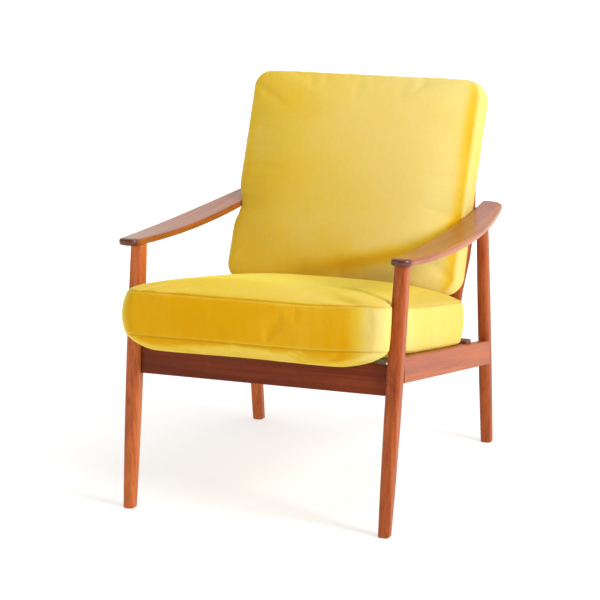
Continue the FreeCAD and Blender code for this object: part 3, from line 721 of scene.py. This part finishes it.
    def sew(self, shape: Shape) -> None:
        """Press a narrow valley along each seam, and note how near each point is to one, for the velvet's
        painted shade in the valleys.

        Args:
            shape: the swollen cushion in its own coordinates, changed in place.
        """
        near = shape.verts.layers.float.new("seam")
        runs = [edge for edge in shape.edges if edge.seam]
        made = bmesh.ops.bevel(
            shape, geom=runs, offset=self.seam_width, offset_type="OFFSET", segments=2, profile=0.5,
            affect="EDGES", material=-1,
        )
        strip = set(made["faces"])
        shape.normal_update()
        kept = [vert for vert in made["verts"] if vert.is_valid]
        valley = [vert for vert in kept if all(face in strip for face in vert.link_faces)]
        for vert in valley:
            vert[near] = self.seam_shade
            vert.co -= vert.normal * self.seam_depth
        for vert in {vert for face in strip for vert in face.verts} - set(valley):
            vert[near] = 0.35 * self.seam_shade

    def painted_light_tone(self, place: Vector, normal: Vector) -> float:
        """Painted light and painted sheen at a point, as a tone; each kind paints its own.

        Args:
            place: the point in the chair's coordinates.
            normal: the way the cover faces there.

        Returns:
            The tone, from 0, deep gold, to 1, pale.
        """
        return 0.5

    def paint_light_tone(self, shape: Shape) -> None:
        """Note at each point how pale the painted light and painted sheen make it.

        Args:
            shape: the sewn cushion in its place.
        """
        # painted light and painted sheen, kept on the mesh for the velvet
        pile_nap_and_painted_light = shape.verts.layers.float.new("pile_nap_and_painted_light")
        shape.normal_update()
        for vert in shape.verts:
            vert[pile_nap_and_painted_light] = min(1.0, max(0.0, self.painted_light_tone(vert.co, vert.normal)))

    def make(self, finish: Finish, filling: Finish) -> Piece:
        """Build the cushion's cover and its core.

        Args:
            finish: the cover's velvet.
            filling: the core's foam.

        Returns:
            The cover.
        """
        cover = new_piece(self.name, self.shaped(), finish)
        self.swell(cover)
        shape = bmesh.new()
        shape.from_mesh(cover.data)
        for vert in shape.verts:
            vert.co = self.settle(vert.co)
        core = shape.copy()
        self.sew(shape)
        shape.normal_update()
        bmesh.ops.transform(shape, matrix=self.frame, verts=shape.verts)
        # paint light and sheen onto the cover by its place and facing
        self.paint_light_tone(shape)
        shape.to_mesh(cover.data)
        shape.free()
        cover.data.shade_smooth()
        cover.modifiers.new("soft", "SUBSURF").levels = 1
        cover.modifiers["soft"].render_levels = 1
        core.normal_update()
        inward = {vert: -vert.normal * self.cover_room for vert in core.verts}
        for vert, move in inward.items():
            vert.co += move
        bmesh.ops.transform(core, matrix=self.frame, verts=core.verts)
        filler = new_piece(f"{self.name}_filling", core, filling)
        for piece, node, slot in ((cover, self.covers, "velvet"), (filler, self.core, "foam")):
            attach(piece, self.body)
            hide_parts(node)
            log.info("%s: %d points", piece.name, len(piece.data.vertices))
        return cover


def sloping_frame() -> Matrix:
    """Placement of the seat cushion's own coordinates: u down the slope, w square to it."""
    return Matrix.Translation((0.0, -SETBACK, SEAT_RISE)) @ Matrix.Rotation(-SEAT_SLOPE, 4, "X")


def leaning_frame() -> Matrix:
    """Placement of the back cushion's own coordinates: u up the lean, w forward."""
    own = Matrix(((1, 0, 0, 0), (0, 0, -1, 0), (0, 1, 0, 0), (0, 0, 0, 1)))
    return Matrix.Translation(BACK_FOOT) @ Matrix.Rotation(-BACK_LEAN, 4, "X") @ own


@dataclass
class SeatCushion(Cushion):
    """Seat cushion: it spreads round the front legs and over the side rails, and rests on the springs.

    The half widths of its room are those before the legs on each side, between them and behind them.
    """

    left_room: float = 0.282
    right_room: float = 0.299
    leg_room: float = 0.2683
    behind_room: float = 0.2825
    rear: float = 0.547
    hang: float = -0.0264
    spring_top: float = -0.0142
    rail_rise: float = 0.0148
    front_drop: float = 0.024
    waist: float = 0.045
    corner_lift: float = 0.009

    def belly(self, u: float) -> float:
        """Hang the under panel's front edge down before the front rail."""
        return self.crown[0] + self.front_drop * (1.0 - smoothstep(0.015, 0.060, u))

    def drape(self, x: float, u: float, w: float) -> Vector:
        """Narrow the cushion between the front legs and lift the corner that rides up against one.

        Args:
            x: place across the cushion.
            u: place along it.
            w: place through its thickness.

        Returns:
            The changed point.
        """
        leg = smoothstep(0.014, 0.036, u) * (1.0 - smoothstep(0.070, 0.110, u))
        side = abs(x) / self.half_width
        lift = smoothstep(0.10, 0.29, x) * (1.0 - smoothstep(0.02, 0.20, u))
        return Vector((x * (1.0 - self.waist * leg * side**3), u, w + self.corner_lift * lift))

    def settle(self, point: Vector) -> Vector:
        """Rest on the springs and rails, between the legs and in front of the back frame.

        Args:
            point: the point in the cushion's own coordinates.

        Returns:
            The settled point.
        """
        x, u, w = point
        leg = smoothstep(0.018, 0.034, u) * (1.0 - smoothstep(0.072, 0.105, u))
        room = self.right_room if x < 0 else self.left_room
        room += (self.leg_room - room) * leg + (self.behind_room - room) * smoothstep(0.08, 0.12, u)
        x = math.copysign(soft_limit(abs(x), room), x)
        behind = smoothstep(0.026, 0.040, u)
        on_rail = smoothstep(0.262, 0.270, abs(x))
        floor = self.hang + behind * (self.spring_top - self.hang + self.rail_rise * on_rail)
        return Vector((x, soft_limit(u, self.rear), max(w, floor)))

    def painted_light_tone(self, place: Vector, normal: Vector) -> float:
        """Painted light and painted sheen: deep along the front, paler on top, underneath and at the back,
        palest round the sides, with a painted highlight where the front turns the corner by the sitter's
        left.

        Args:
            place: the point in the chair's coordinates.
            normal: the way the cover faces there.

        Returns:
            The tone, from 0, deep gold, to 1, pale.
        """
        # painted light by facing: lit top, lit sides, lit underside and back; turned is a painted highlight
        # on the front corner by the sitter's left
        top = smoothstep(0.45, 0.97, normal.z)
        side = smoothstep(0.15, 0.90, abs(normal.x))
        under = smoothstep(0.20, 0.70, -normal.z)
        rear = smoothstep(0.40, 0.90, normal.y)
        turned = 0.85 * smoothstep(0.19, 0.26, place.x) * smoothstep(0.5, 0.9, -normal.y)
        return 0.05 + 0.58 * top + 0.85 * side + 0.55 * under + 0.50 * rear + turned


@dataclass
class BackCushion(Cushion):
    """Back cushion: flat against the stiles, pinched by the armrests, its foot cut to sit on the seat."""

    room: float = 0.288
    pinch: float = 0.0262
    arm_height: float = 0.543
    arm_reach: float = 0.045
    seat_top: float = 0.0935
    foot_length: float = 0.12
    behind: float = 0.0010
    # width of the painted shadow band that the sitter's left armrest casts on the front
    arm_shadow_width: float = 0.016

    def drape(self, x: float, u: float, w: float) -> Vector:
        """Slant the foot to the seat's slope.

        Args:
            x: place across the cushion.
            u: place along it.
            w: place through its thickness.

        Returns:
            The changed point.
        """
        low = self.u_range[0]
        foot = 1.0 - smoothstep(low, low + self.foot_length, u)
        u -= (w + 0.010) * math.tan(BACK_LEAN - SEAT_SLOPE) * foot
        return Vector((x, u, w))

    def settle(self, point: Vector) -> Vector:
        """Lie flat on the stiles behind, stand on the seat and narrow between the armrests.

        Args:
            point: the point in the cushion's own coordinates.

        Returns:
            The settled point.
        """
        x, u, w = point
        w = max(w, self.behind)
        height = BACK_FOOT.z + u * math.cos(BACK_LEAN) + w * math.sin(BACK_LEAN)
        room = self.room - self.pinch * math.exp(-(((height - self.arm_height) / self.arm_reach) ** 2))
        x = math.copysign(soft_limit(abs(x), room), x)
        seat_top = self.seat_top - w * math.tan(BACK_LEAN - SEAT_SLOPE)
        return Vector((x, -soft_limit(-u, -seat_top), w))

    def painted_light_tone(self, place: Vector, normal: Vector) -> float:
        """Painted light: paler to the sitter's left, round the sides and on top; painted shade lower down and
        by the left seam, and a painted shadow of the left armrest in a band across the front.

        Args:
            place: the point in the chair's coordinates.
            normal: the way the cover faces there.

        Returns:
            The tone, from 0, deep gold, to 1, pale.
        """
        forward = smoothstep(0.55, 0.85, -normal.y * math.cos(BACK_LEAN) + normal.z * math.sin(BACK_LEAN))
        across = place.x - self.shift
        # painted shade on the front face by the side seams, deepest by the sitter's left one
        edge = smoothstep(0.228, 0.260, across) + 0.15 * smoothstep(0.235, 0.262, -across)
        # painted shadow of the sitter's left armrest: a band across the front that rises towards that armrest
        arm_shadow_height = 0.4365 + 0.232 * place.x + 2.6 * max(0.0, place.x - 0.125) ** 2
        above = (place.z - arm_shadow_height) / self.arm_shadow_width
        painted_arm_shadow = math.exp(-(above**2)) * smoothstep(-0.16, 0.12, place.x)
        # painted light round the sides and on top
        side = smoothstep(0.40, 0.95, abs(normal.x))
        # painted light, paler towards the key light on the sitter's left, and painted shade lower down near
        # the seat
        painted_light_across = 0.55 + 0.44 * smoothstep(-0.20, 0.22, place.x) - 0.06 * (1.0 - smoothstep(0.42, 0.62, place.z))
        top = smoothstep(0.5, 0.9, normal.z)
        return painted_light_across - (0.60 * edge + 0.72 * painted_arm_shadow) * forward + 0.75 * side + 0.10 * top


def seat_cushion() -> SeatCushion:
    """The seat cushion with its sizes."""
    return SeatCushion(
        "seat_cushion", "seat_cushion", 0.287, (-0.016, 0.536), (0.003, 0.094), 0.034, sloping_frame(),
        "seat_cushion_cover", "seat_cushion_foam", crown=(0.006, 0.020), fullness=10.0, shift=-0.004,
    )


def back_cushion() -> BackCushion:
    """The back cushion with its sizes."""
    return BackCushion(
        "back_cushion", "back_cushion", 0.268, (0.104, 0.573), (0.006, 0.074), 0.038, leaning_frame(),
        "back_cushion_cover", "back_cushion_foam", crown=(0.0, 0.018), bulge=0.004, shift=-0.0075,
        seam_depth=0.0010, seam_shade=0.35,
    )


@dataclass(frozen=True)
class ZipTape:
    """Woven cotton tape and nylon coil, dyed to go with the velvet."""

    tape: Triple = (0.62, 0.34, 0.010)
    coil: Triple = (0.72, 0.46, 0.060)

    def material(self) -> Finish:
        """Tape whose coil is read from the mesh's own attribute.

        Returns:
            The material.
        """
        recipe = recipe_for("dyed_zip_tape")
        weave = recipe.node(
            "ShaderNodeTexWave", {"Vector": recipe.place, "Scale": 420.0, "Distortion": 0.4, "Detail": 1.0},
            wave_type="BANDS", bands_direction="DIAGONAL",
        ).outputs["Fac"]
        shaded = tuple(0.7 * channel for channel in self.tape)
        cloth = recipe.ramp(recipe.spread(weave, 0.1, 0.9), [(0.0, shaded), (1.0, self.tape)])
        coil = recipe.node("ShaderNodeAttribute", attribute_name="coil").outputs["Fac"]
        colour = recipe.blend(coil, cloth, self.coil)
        rough = recipe.spread(coil, 0.0, 1.0, 0.80, 0.38)
        relief = recipe.bump(weave, 0.3, 0.0003)
        return recipe.shade({"Base Color": colour, "Roughness": rough, "Normal": relief})


@dataclass
class CushionZip:
    """Coil zip let into a cushion's boxing, laid on the skin, with its slider at one end.

    Its line lies at a given u and w of the cushion, and it is laid from outside along u.
    """

    name: str
    cushion: Cushion
    node: str
    level: float
    outside: float
    half_length: float = 0.200
    half_width: float = 0.0075
    coil: float = 0.0022
    rib: float = 0.0013
    rise: float = 0.0006
    tuck: float = 0.0004
    teeth: int = 250

    def skin(self, cover: Piece, x: float, w: float) -> tuple[Vector, Vector]:
        """Find the cover's skin.

        Args:
            cover: the cushion's finished cover.
            x: place across the cushion.
            w: place through its thickness.

        Returns:
            The point on the skin and the way out from it.
        """
        out = self.cushion.frame.to_3x3() @ Vector((0.0, 1.0 if self.outside > 0.3 else -1.0, 0.0))
        start = self.cushion.frame @ Vector((x, self.outside, w))
        found, point, _, _ = cover.ray_cast(start, -out)
        return (point if found else start - out * 0.05), out

    def tape(self, cover: Piece) -> Shape:
        """Tape with the coil's ribs along its middle.

        Args:
            cover: the cushion's finished cover.

        Returns:
            The tape, noting where the coil is.
        """
        shape = bmesh.new()
        bmesh.ops.create_grid(shape, x_segments=2 * self.teeth, y_segments=10, size=1.0)
        mark = shape.verts.layers.float.new("coil")
        rows = sorted({round(vert.co.x, 5) for vert in shape.verts})
        order = {value: number for number, value in enumerate(rows)}
        for vert in shape.verts:
            step = order[round(vert.co.x, 5)]
            across = vert.co.y * self.half_width
            point, out = self.skin(cover, vert.co.x * self.half_length, self.level + across)
            near = max(0.0, 1.0 - (across / self.coil) ** 2)
            rib = self.rib * math.sqrt(near) * (1.0 if step % 2 else 0.55)
            edge = self.rise if abs(vert.co.y) < 0.95 else -self.tuck
            vert[mark] = 1.0 if near > 0.0 else 0.0
            vert.co = point + out * (edge + rib)
        bmesh.ops.recalc_face_normals(shape, faces=shape.faces)
        way = self.skin(cover, 0.0, self.level)[1]
        if sum(face.normal.dot(way) for face in shape.faces) < 0:
            bmesh.ops.reverse_faces(shape, faces=shape.faces)
        return shape

    def slider(self, cover: Piece) -> Shape:
        """Slider body with its pull tab lying along the coil.

        Args:
            cover: the cushion's finished cover.

        Returns:
            The slider.
        """
        shape = bmesh.new()
        point, out = self.skin(cover, self.half_length - 0.012, self.level)
        for size, place in (
            ((0.0090, 0.0070, 0.0028), (0.0, 0.0, 0.0016)),
            ((0.0040, 0.0022, 0.0022), (-0.001, 0.0, 0.0036)),
            ((0.0200, 0.0050, 0.0011), (-0.0125, 0.0, 0.0040)),
        ):
            verts = bmesh.ops.create_cube(shape, size=1.0)["verts"]
            bmesh.ops.scale(shape, verts=verts, vec=size)
            bmesh.ops.translate(shape, verts=verts, vec=place)
        bmesh.ops.bevel(
            shape, geom=list(shape.edges), offset=0.0005, segments=2, profile=0.5, affect="EDGES",
            material=-1,
        )
        across = self.cushion.frame.to_3x3() @ Vector((0.0, 0.0, 1.0))
        turn = Matrix((Vector((1.0, 0.0, 0.0)), across, out)).transposed()
        if turn.determinant() < 0:
            turn = Matrix((Vector((1.0, 0.0, 0.0)), -across, out)).transposed()
        bmesh.ops.transform(shape, matrix=Matrix.Translation(point) @ turn.to_4x4(), verts=shape.verts)
        return shape

    def make(self, cover: Piece, finish: Finish, metal: Finish) -> None:
        """Build the tape and the slider on a cushion's cover.

        Args:
            cover: the cushion's finished cover.
            finish: the tape's material.
            metal: the slider's material.
        """
        bpy.context.view_layer.update()
        tape = new_piece(f"{self.name}_tape", self.tape(cover), finish)
        solid = tape.modifiers.new("thickness", "SOLIDIFY")
        solid.thickness, solid.offset = 0.0006, -1.0
        slider = new_piece(f"{self.name}_slider", self.slider(cover), metal)
        for piece in (tape, slider):
            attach(piece, self.cushion.body)
            log.info("%s: %d points", piece.name, len(piece.data.vertices))
        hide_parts(self.node)


# ---------------------------------------------------------------- suspension


@dataclass
class SeatSprings:
    """Close-coiled springs across the seat, each hooked into a steel strip at both ends."""

    count: int = 8
    wire: float = 0.0021
    coil: float = 0.011
    half_length: float = 0.235
    hook_reach: float = 0.262
    hook_bend: float = 0.005
    hook_drop: float = 0.006
    overlap: float = 0.002
    lead: float = 0.006
    turns: int = 205
    steps: int = 10

    def tail(self, side: float) -> Shape:
        """Straight tail and down-turned hook at one end, along X from the coil.

        Args:
            side: 1 for the sitter's left end, -1 for the right.

        Returns:
            The hook's shape, its axis on the X axis.
        """
        shape = bmesh.new()
        ring = bmesh.ops.create_circle(shape, segments=8, radius=self.wire / 2)
        bmesh.ops.rotate(shape, verts=ring["verts"], matrix=Matrix.Rotation(math.pi / 2, 3, "Y"))
        start = Vector((self.half_length - self.overlap, 0.0, (self.coil - self.wire) / 2))
        bmesh.ops.translate(shape, verts=ring["verts"], vec=start)
        edges = list(shape.edges)
        turn = Vector((self.hook_reach - self.hook_bend, 0.0, 0.0))
        for target in (Vector((self.half_length + self.lead, 0.0, 0.0)), turn):
            grown = bmesh.ops.extrude_edge_only(shape, edges=edges)["geom"]
            verts = verts_in(grown)
            middle = sum((vert.co for vert in verts), Vector()) / len(verts)
            bmesh.ops.translate(shape, verts=verts, vec=target - middle)
            edges = edges_in(grown)
        centre = turn - Vector((0.0, 0.0, self.hook_bend))
        grown = bmesh.ops.spin(shape, geom=edges, cent=centre, axis=(0, 1, 0), angle=math.pi / 2, steps=6)
        fallen = bmesh.ops.extrude_edge_only(shape, edges=edges_in(grown["geom_last"]))["geom"]
        bmesh.ops.translate(shape, verts=verts_in(fallen), vec=(0.0, 0.0, -self.hook_drop))
        bmesh.ops.holes_fill(shape, edges=shape.edges, sides=8)
        if side < 0:
            bmesh.ops.scale(shape, verts=shape.verts, vec=(-1.0, 1.0, 1.0))
        return shape

    def coiled(self) -> Shape:
        """Close coil along the X axis, grown from one turn of wire.

        Returns:
            The coil, closed at both ends of its wire.
        """
        shape = bmesh.new()
        ring = bmesh.ops.create_circle(shape, segments=6, radius=self.wire / 2)["verts"]
        bmesh.ops.rotate(shape, verts=ring, matrix=Matrix.Rotation(math.pi / 2, 3, "X"))
        bmesh.ops.translate(shape, verts=ring, vec=(-self.half_length, 0.0, (self.coil - self.wire) / 2))
        pitch = 2 * self.half_length / self.turns
        bmesh.ops.spin(
            shape, geom=list(shape.edges), cent=(0, 0, 0), axis=(1, 0, 0), dvec=(pitch / self.steps, 0, 0),
            angle=2 * math.pi, steps=self.steps,
        )
        have, per_turn = 1, len(shape.faces)
        while have < self.turns:
            more = min(have, self.turns - have)
            copied = bmesh.ops.duplicate(shape, geom=list(shape.faces)[: more * per_turn])["geom"]
            bmesh.ops.translate(shape, verts=verts_in(copied), vec=(have * pitch, 0, 0))
            have += more
        bmesh.ops.remove_doubles(shape, verts=shape.verts, dist=0.00005)
        bmesh.ops.edgeloop_fill(shape, edges=[edge for edge in shape.edges if edge.is_boundary])
        return shape

    def shape(self) -> Shape:
        """One spring with its axis on the X axis.

        Returns:
            The whole spring.
        """
        shape = self.coiled()
        for side in (1.0, -1.0):
            tail = self.tail(side)
            mesh = bpy.data.meshes.new("tail")
            tail.to_mesh(mesh)
            tail.free()
            shape.from_mesh(mesh)
            bpy.data.meshes.remove(mesh)
        bmesh.ops.recalc_face_normals(shape, faces=shape.faces)
        return shape

    def make(self, finish: Finish) -> None:
        """Build every spring where its solid lies.

        Args:
            finish: the drawn wire's steel.
        """
        spring = self.shape()
        for number in range(1, self.count + 1):
            node = f"seat_spring_{number}"
            low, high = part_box(node)
            place = Matrix.Translation((0.0, (low[1] + high[1]) / 2, high[2] - self.coil / 2))
            place @= Matrix.Rotation(-SEAT_SLOPE, 4, "X")
            copied = spring.copy()
            bmesh.ops.transform(copied, matrix=place, verts=copied.verts)
            piece = new_piece(f"spring_{number}", copied, finish)
            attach(piece, "frame")
            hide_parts(node)
            log.info("%s: %d faces", piece.name, len(piece.data.polygons))
        spring.free()


# ---------------------------------------------------------------- frame and studio


@dataclass
class BackStiles:
    """Back stiles, slimmed on their outer side from the armrests up to the top rail."""

    slim_from: float = 0.50
    slim_to: float = 0.62
    slimming: float = 0.010
    levels: int = 8

    def make(self, nodes: dict[str, Piece], finish: Finish) -> None:
        """Build both stiles from their solids.

        Args:
            nodes: the frame's objects by name.
            finish: the stiles' teak.
        """
        for side in ("left", "right"):
            node = f"back_stile_{side}"
            low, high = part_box(node)
            inner = min(abs(low[0]), abs(high[0]))
            width = high[0] - low[0]
            shape = bmesh.new()
            shape.from_mesh(nodes[node].data)
            bmesh.ops.remove_doubles(shape, verts=shape.verts, dist=0.00001)
            for level in range(self.levels + 1):
                height = self.slim_from + (self.slim_to - self.slim_from) * level / self.levels
                every = [*shape.verts, *shape.edges, *shape.faces]
                bmesh.ops.bisect_plane(shape, geom=every, plane_co=(0, 0, height), plane_no=(0, 0, 1))
            for vert in shape.verts:
                share = smoothstep(self.slim_from, self.slim_to, vert.co.z)
                outward = (abs(vert.co.x) - inner) / width
                vert.co.x -= math.copysign(self.slimming * share * outward, vert.co.x)
            bmesh.ops.dissolve_degenerate(shape, edges=shape.edges, dist=0.00001)
            scraps = [face for face in shape.faces if face.calc_area() < 1e-11]
            bmesh.ops.delete(shape, geom=scraps, context="FACES")
            piece = new_piece(f"stile_{side}", shape, finish)
            piece.data.set_sharp_from_angle(angle=math.radians(25.0))
            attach(piece, "frame")
            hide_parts(node)
            log.info("%s: %d faces", piece.name, len(piece.data.polygons))


@dataclass
class Armrests:
    """Armrests with every edge rounded over by hand, as sanded paddles are."""

    voxel: float = 0.0016
    passes: int = 14

    def rounded(self, node: Piece) -> Shape:
        """Even out an armrest's skin and sand its edges round.

        Args:
            node: the armrest's solid.

        Returns:
            The rounded shape.
        """
        blank = bpy.data.objects.new("arm_blank", node.data.copy())
        bpy.context.scene.collection.objects.link(blank)
        weld = blank.modifiers.new("weld", "WELD")
        weld.merge_threshold = 0.00002
        skin = blank.modifiers.new("skin", "REMESH")
        skin.mode, skin.voxel_size, skin.adaptivity = "VOXEL", self.voxel, 0.0
        shape = bmesh.new()
        shape.from_object(blank, bpy.context.evaluated_depsgraph_get())
        bpy.data.objects.remove(blank)
        for _ in range(self.passes):
            bmesh.ops.smooth_vert(
                shape, verts=shape.verts, factor=0.5, use_axis_x=True, use_axis_y=True, use_axis_z=True,
            )
        return shape

    def make(self, nodes: dict[str, Piece], finish: Finish) -> None:
        """Build both armrests from their solids.

        Args:
            nodes: the frame's objects by name.
            finish: the armrests' teak.
        """
        for side in ("left", "right"):
            node = f"armrest_{side}"
            piece = new_piece(f"arm_{side}", self.rounded(nodes[node]), finish)
            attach(piece, "frame")
            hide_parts(node)
            log.info("%s: %d faces", piece.name, len(piece.data.polygons))


@dataclass
class ShowFrame:
    """The hardwood frame's own solids, each dressed with the grain along its length."""

    upright: tuple[str, ...] = ("front_leg", "back_leg")
    # dark: rails and slat in darker teak, partly a darker board and partly painted shade from the cushions
    # above them
    dark: tuple[str, ...] = ("front_rail", "rear_rail", "back_slat")
    # pale: the sitter's right legs get a lighter copy of the teak, as painted light
    pale: tuple[str, ...] = ("front_leg_right", "back_leg_right")

    def dress(self, nodes: dict[str, Piece]) -> None:
        """Give every wooden solid its teak and every steel one its steel.

        Args:
            nodes: the frame's objects by name.
        """
        boards = {
            "": {grain: FAIR_BOARD.material(grain) for grain in Grain},
            "dark": {Grain.ACROSS: DARK_BOARD_WITH_PAINTED_SHADE.material(Grain.ACROSS)},
            "pale": {Grain.UPRIGHT: PAINTED_LIGHT_TEAK.material(Grain.UPRIGHT)},
            "arm": {Grain.FRONT_TO_BACK: ARM_BOARD.material(Grain.FRONT_TO_BACK)},
        }
        beech = BareBeech().material()
        strip = Steel("rolled_strip", (0.33, 0.33, 0.34), (0.20, 0.15, 0.12), 0.46).material()
        screw = Steel("zinc_screw", (0.62, 0.60, 0.52), (0.42, 0.38, 0.30), 0.34).material()
        for name, node in nodes.items():
            # the dark board holds painted shade besides darker wood, the pale board holds painted light
            board = "dark" if name.startswith(self.dark) else "pale" if name in self.pale else ""
            if name.startswith(self.upright):
                finish = boards[board][Grain.UPRIGHT]
            elif name.startswith("side_rail"):
                finish = boards[board][Grain.DOWN_THE_SEAT]
            elif name.startswith("arm_dowel"):
                finish = beech
            elif name.startswith("spring_strip"):
                finish = strip
            elif name.startswith("strip_screws"):
                finish = screw
            else:
                finish = boards[board][Grain.ACROSS]
            if not node.data.materials:
                node.data.materials.append(finish)
            for slot in node.material_slots:
                slot.material = finish
            log.info("%s dressed in %s", name, finish.name)
        BackStiles().make(nodes, boards[""][Grain.UP_THE_BACK])
        Armrests().make(nodes, boards["arm"][Grain.FRONT_TO_BACK])


@dataclass
class Studio:
    """Pale floor, soft lights, surroundings and the camera."""

    floor_half: float = 40.0
    lens: float = 143.76
    eye: Triple = (1.7287, -4.7492, 1.5282)
    tilt: float = math.radians(77.22)
    turn: float = math.radians(20.51)

    def make(self) -> None:
        """Build the floor, the lights, the world and the camera."""
        self.floor()
        self.lights()
        self.world()
        self.camera()

    def floor(self) -> None:
        """Large matt floor."""
        recipe = recipe_for("pale_floor")
        away = recipe.node("ShaderNodeVectorMath", {0: recipe.place}, operation="LENGTH").outputs["Value"]
        glow = recipe.spread(away, 0.5, 2.6, 0.58, 1.0)
        finish = recipe.shade({
            "Base Color": (0.55, 0.55, 0.55, 1.0), "Roughness": 0.9, "Specular IOR Level": 0.1,
            "Emission Color": (1.0, 1.0, 1.0, 1.0), "Emission Strength": glow,
        })
        shape = bmesh.new()
        bmesh.ops.create_grid(shape, x_segments=2, y_segments=2, size=self.floor_half)
        new_piece("studio_floor", shape, finish)

    def lamp(self, name: str, place: Triple, aim: Triple, size: float, power: float) -> None:
        """Square soft lamp.

        Args:
            name: the lamp's name.
            place: where it hangs.
            aim: the point that it faces.
            size: its side.
            power: its power in watts.
        """
        data = bpy.data.lights.new(name, "AREA")
        data.shape, data.size, data.energy = "SQUARE", size, power
        lamp = bpy.data.objects.new(name, data)
        lamp.location = place
        lamp.rotation_euler = (Vector(aim) - Vector(place)).to_track_quat("-Z", "Y").to_euler()
        bpy.context.scene.collection.objects.link(lamp)

    def lights(self) -> None:
        """Large window-like key from the sitter's left, a weak fill and a top light."""
        self.lamp("key", (3.3, -1.1, 2.1), (0.0, 0.0, 0.4), 1.2, 120.0)
        self.lamp("top", (0.5, -0.3, 3.5), (0.0, 0.0, 0.4), 2.6, 36.0)
        self.lamp("fill", (-2.6, -3.3, 0.9), (0.0, 0.0, 0.3), 2.4, 34.0)

    def world(self) -> None:
        """Surroundings that look white and light the chair more from behind than from the front."""
        recipe = Recipe(bpy.data.worlds.new("pale_room"))
        around = recipe.place.node.outputs["Generated"]
        depth = recipe.node("ShaderNodeSeparateXYZ", {0: around}).outputs["Y"]
        strength = recipe.spread(depth, -0.5, 0.6, 0.16, 0.95)
        cast = recipe.node("ShaderNodeBackground", {"Color": (1.0, 0.99, 0.97, 1.0), "Strength": strength})
        seen = recipe.node("ShaderNodeBackground", {"Color": (1.0, 1.0, 1.0, 1.0), "Strength": 1.0})
        path = recipe.node("ShaderNodeLightPath").outputs["Is Camera Ray"]
        mix = recipe.node("ShaderNodeMixShader", {0: path, 1: cast.outputs[0], 2: seen.outputs[0]})
        recipe.node("ShaderNodeOutputWorld", {0: mix.outputs[0]})
        bpy.context.scene.world = recipe.owner
        bpy.context.scene.view_settings.view_transform = "Standard"

    def camera(self) -> None:
        """Long-lens camera at standing eye height, in front and to the sitter's left."""
        data = bpy.data.cameras.new("camera")
        data.lens, data.sensor_width = self.lens, 36.0
        camera = bpy.data.objects.new("camera", data)
        camera.location = self.eye
        camera.rotation_euler = (self.tilt, 0.0, self.turn)
        bpy.context.scene.collection.objects.link(camera)
        bpy.context.scene.camera = camera


def main() -> None:
    """Load the frame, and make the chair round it."""
    logging.basicConfig(level=logging.INFO, format="%(name)s: %(message)s")
    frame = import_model()
    Studio().make()
    ShowFrame().dress(frame["nodes"])
    velvet, foam = Velvet().material(), Foam().material()
    seat, back = seat_cushion(), back_cushion()
    seat_cover, back_cover = seat.make(velvet, foam), back.make(velvet, foam)
    tape = ZipTape().material()
    metal = Steel("zip_slider", (0.70, 0.56, 0.30), (0.48, 0.36, 0.18), 0.30).material()
    CushionZip("seat_zip", seat, "seat_cushion_zip", 0.045, 0.620).make(seat_cover, tape, metal)
    CushionZip("back_zip", back, "back_cushion_zip", 0.038, 0.020).make(back_cover, tape, metal)
    SeatSprings().make(Steel("drawn_wire", (0.45, 0.45, 0.46), (0.28, 0.24, 0.20), 0.36).material())


if __name__ == "__main__":
    main()
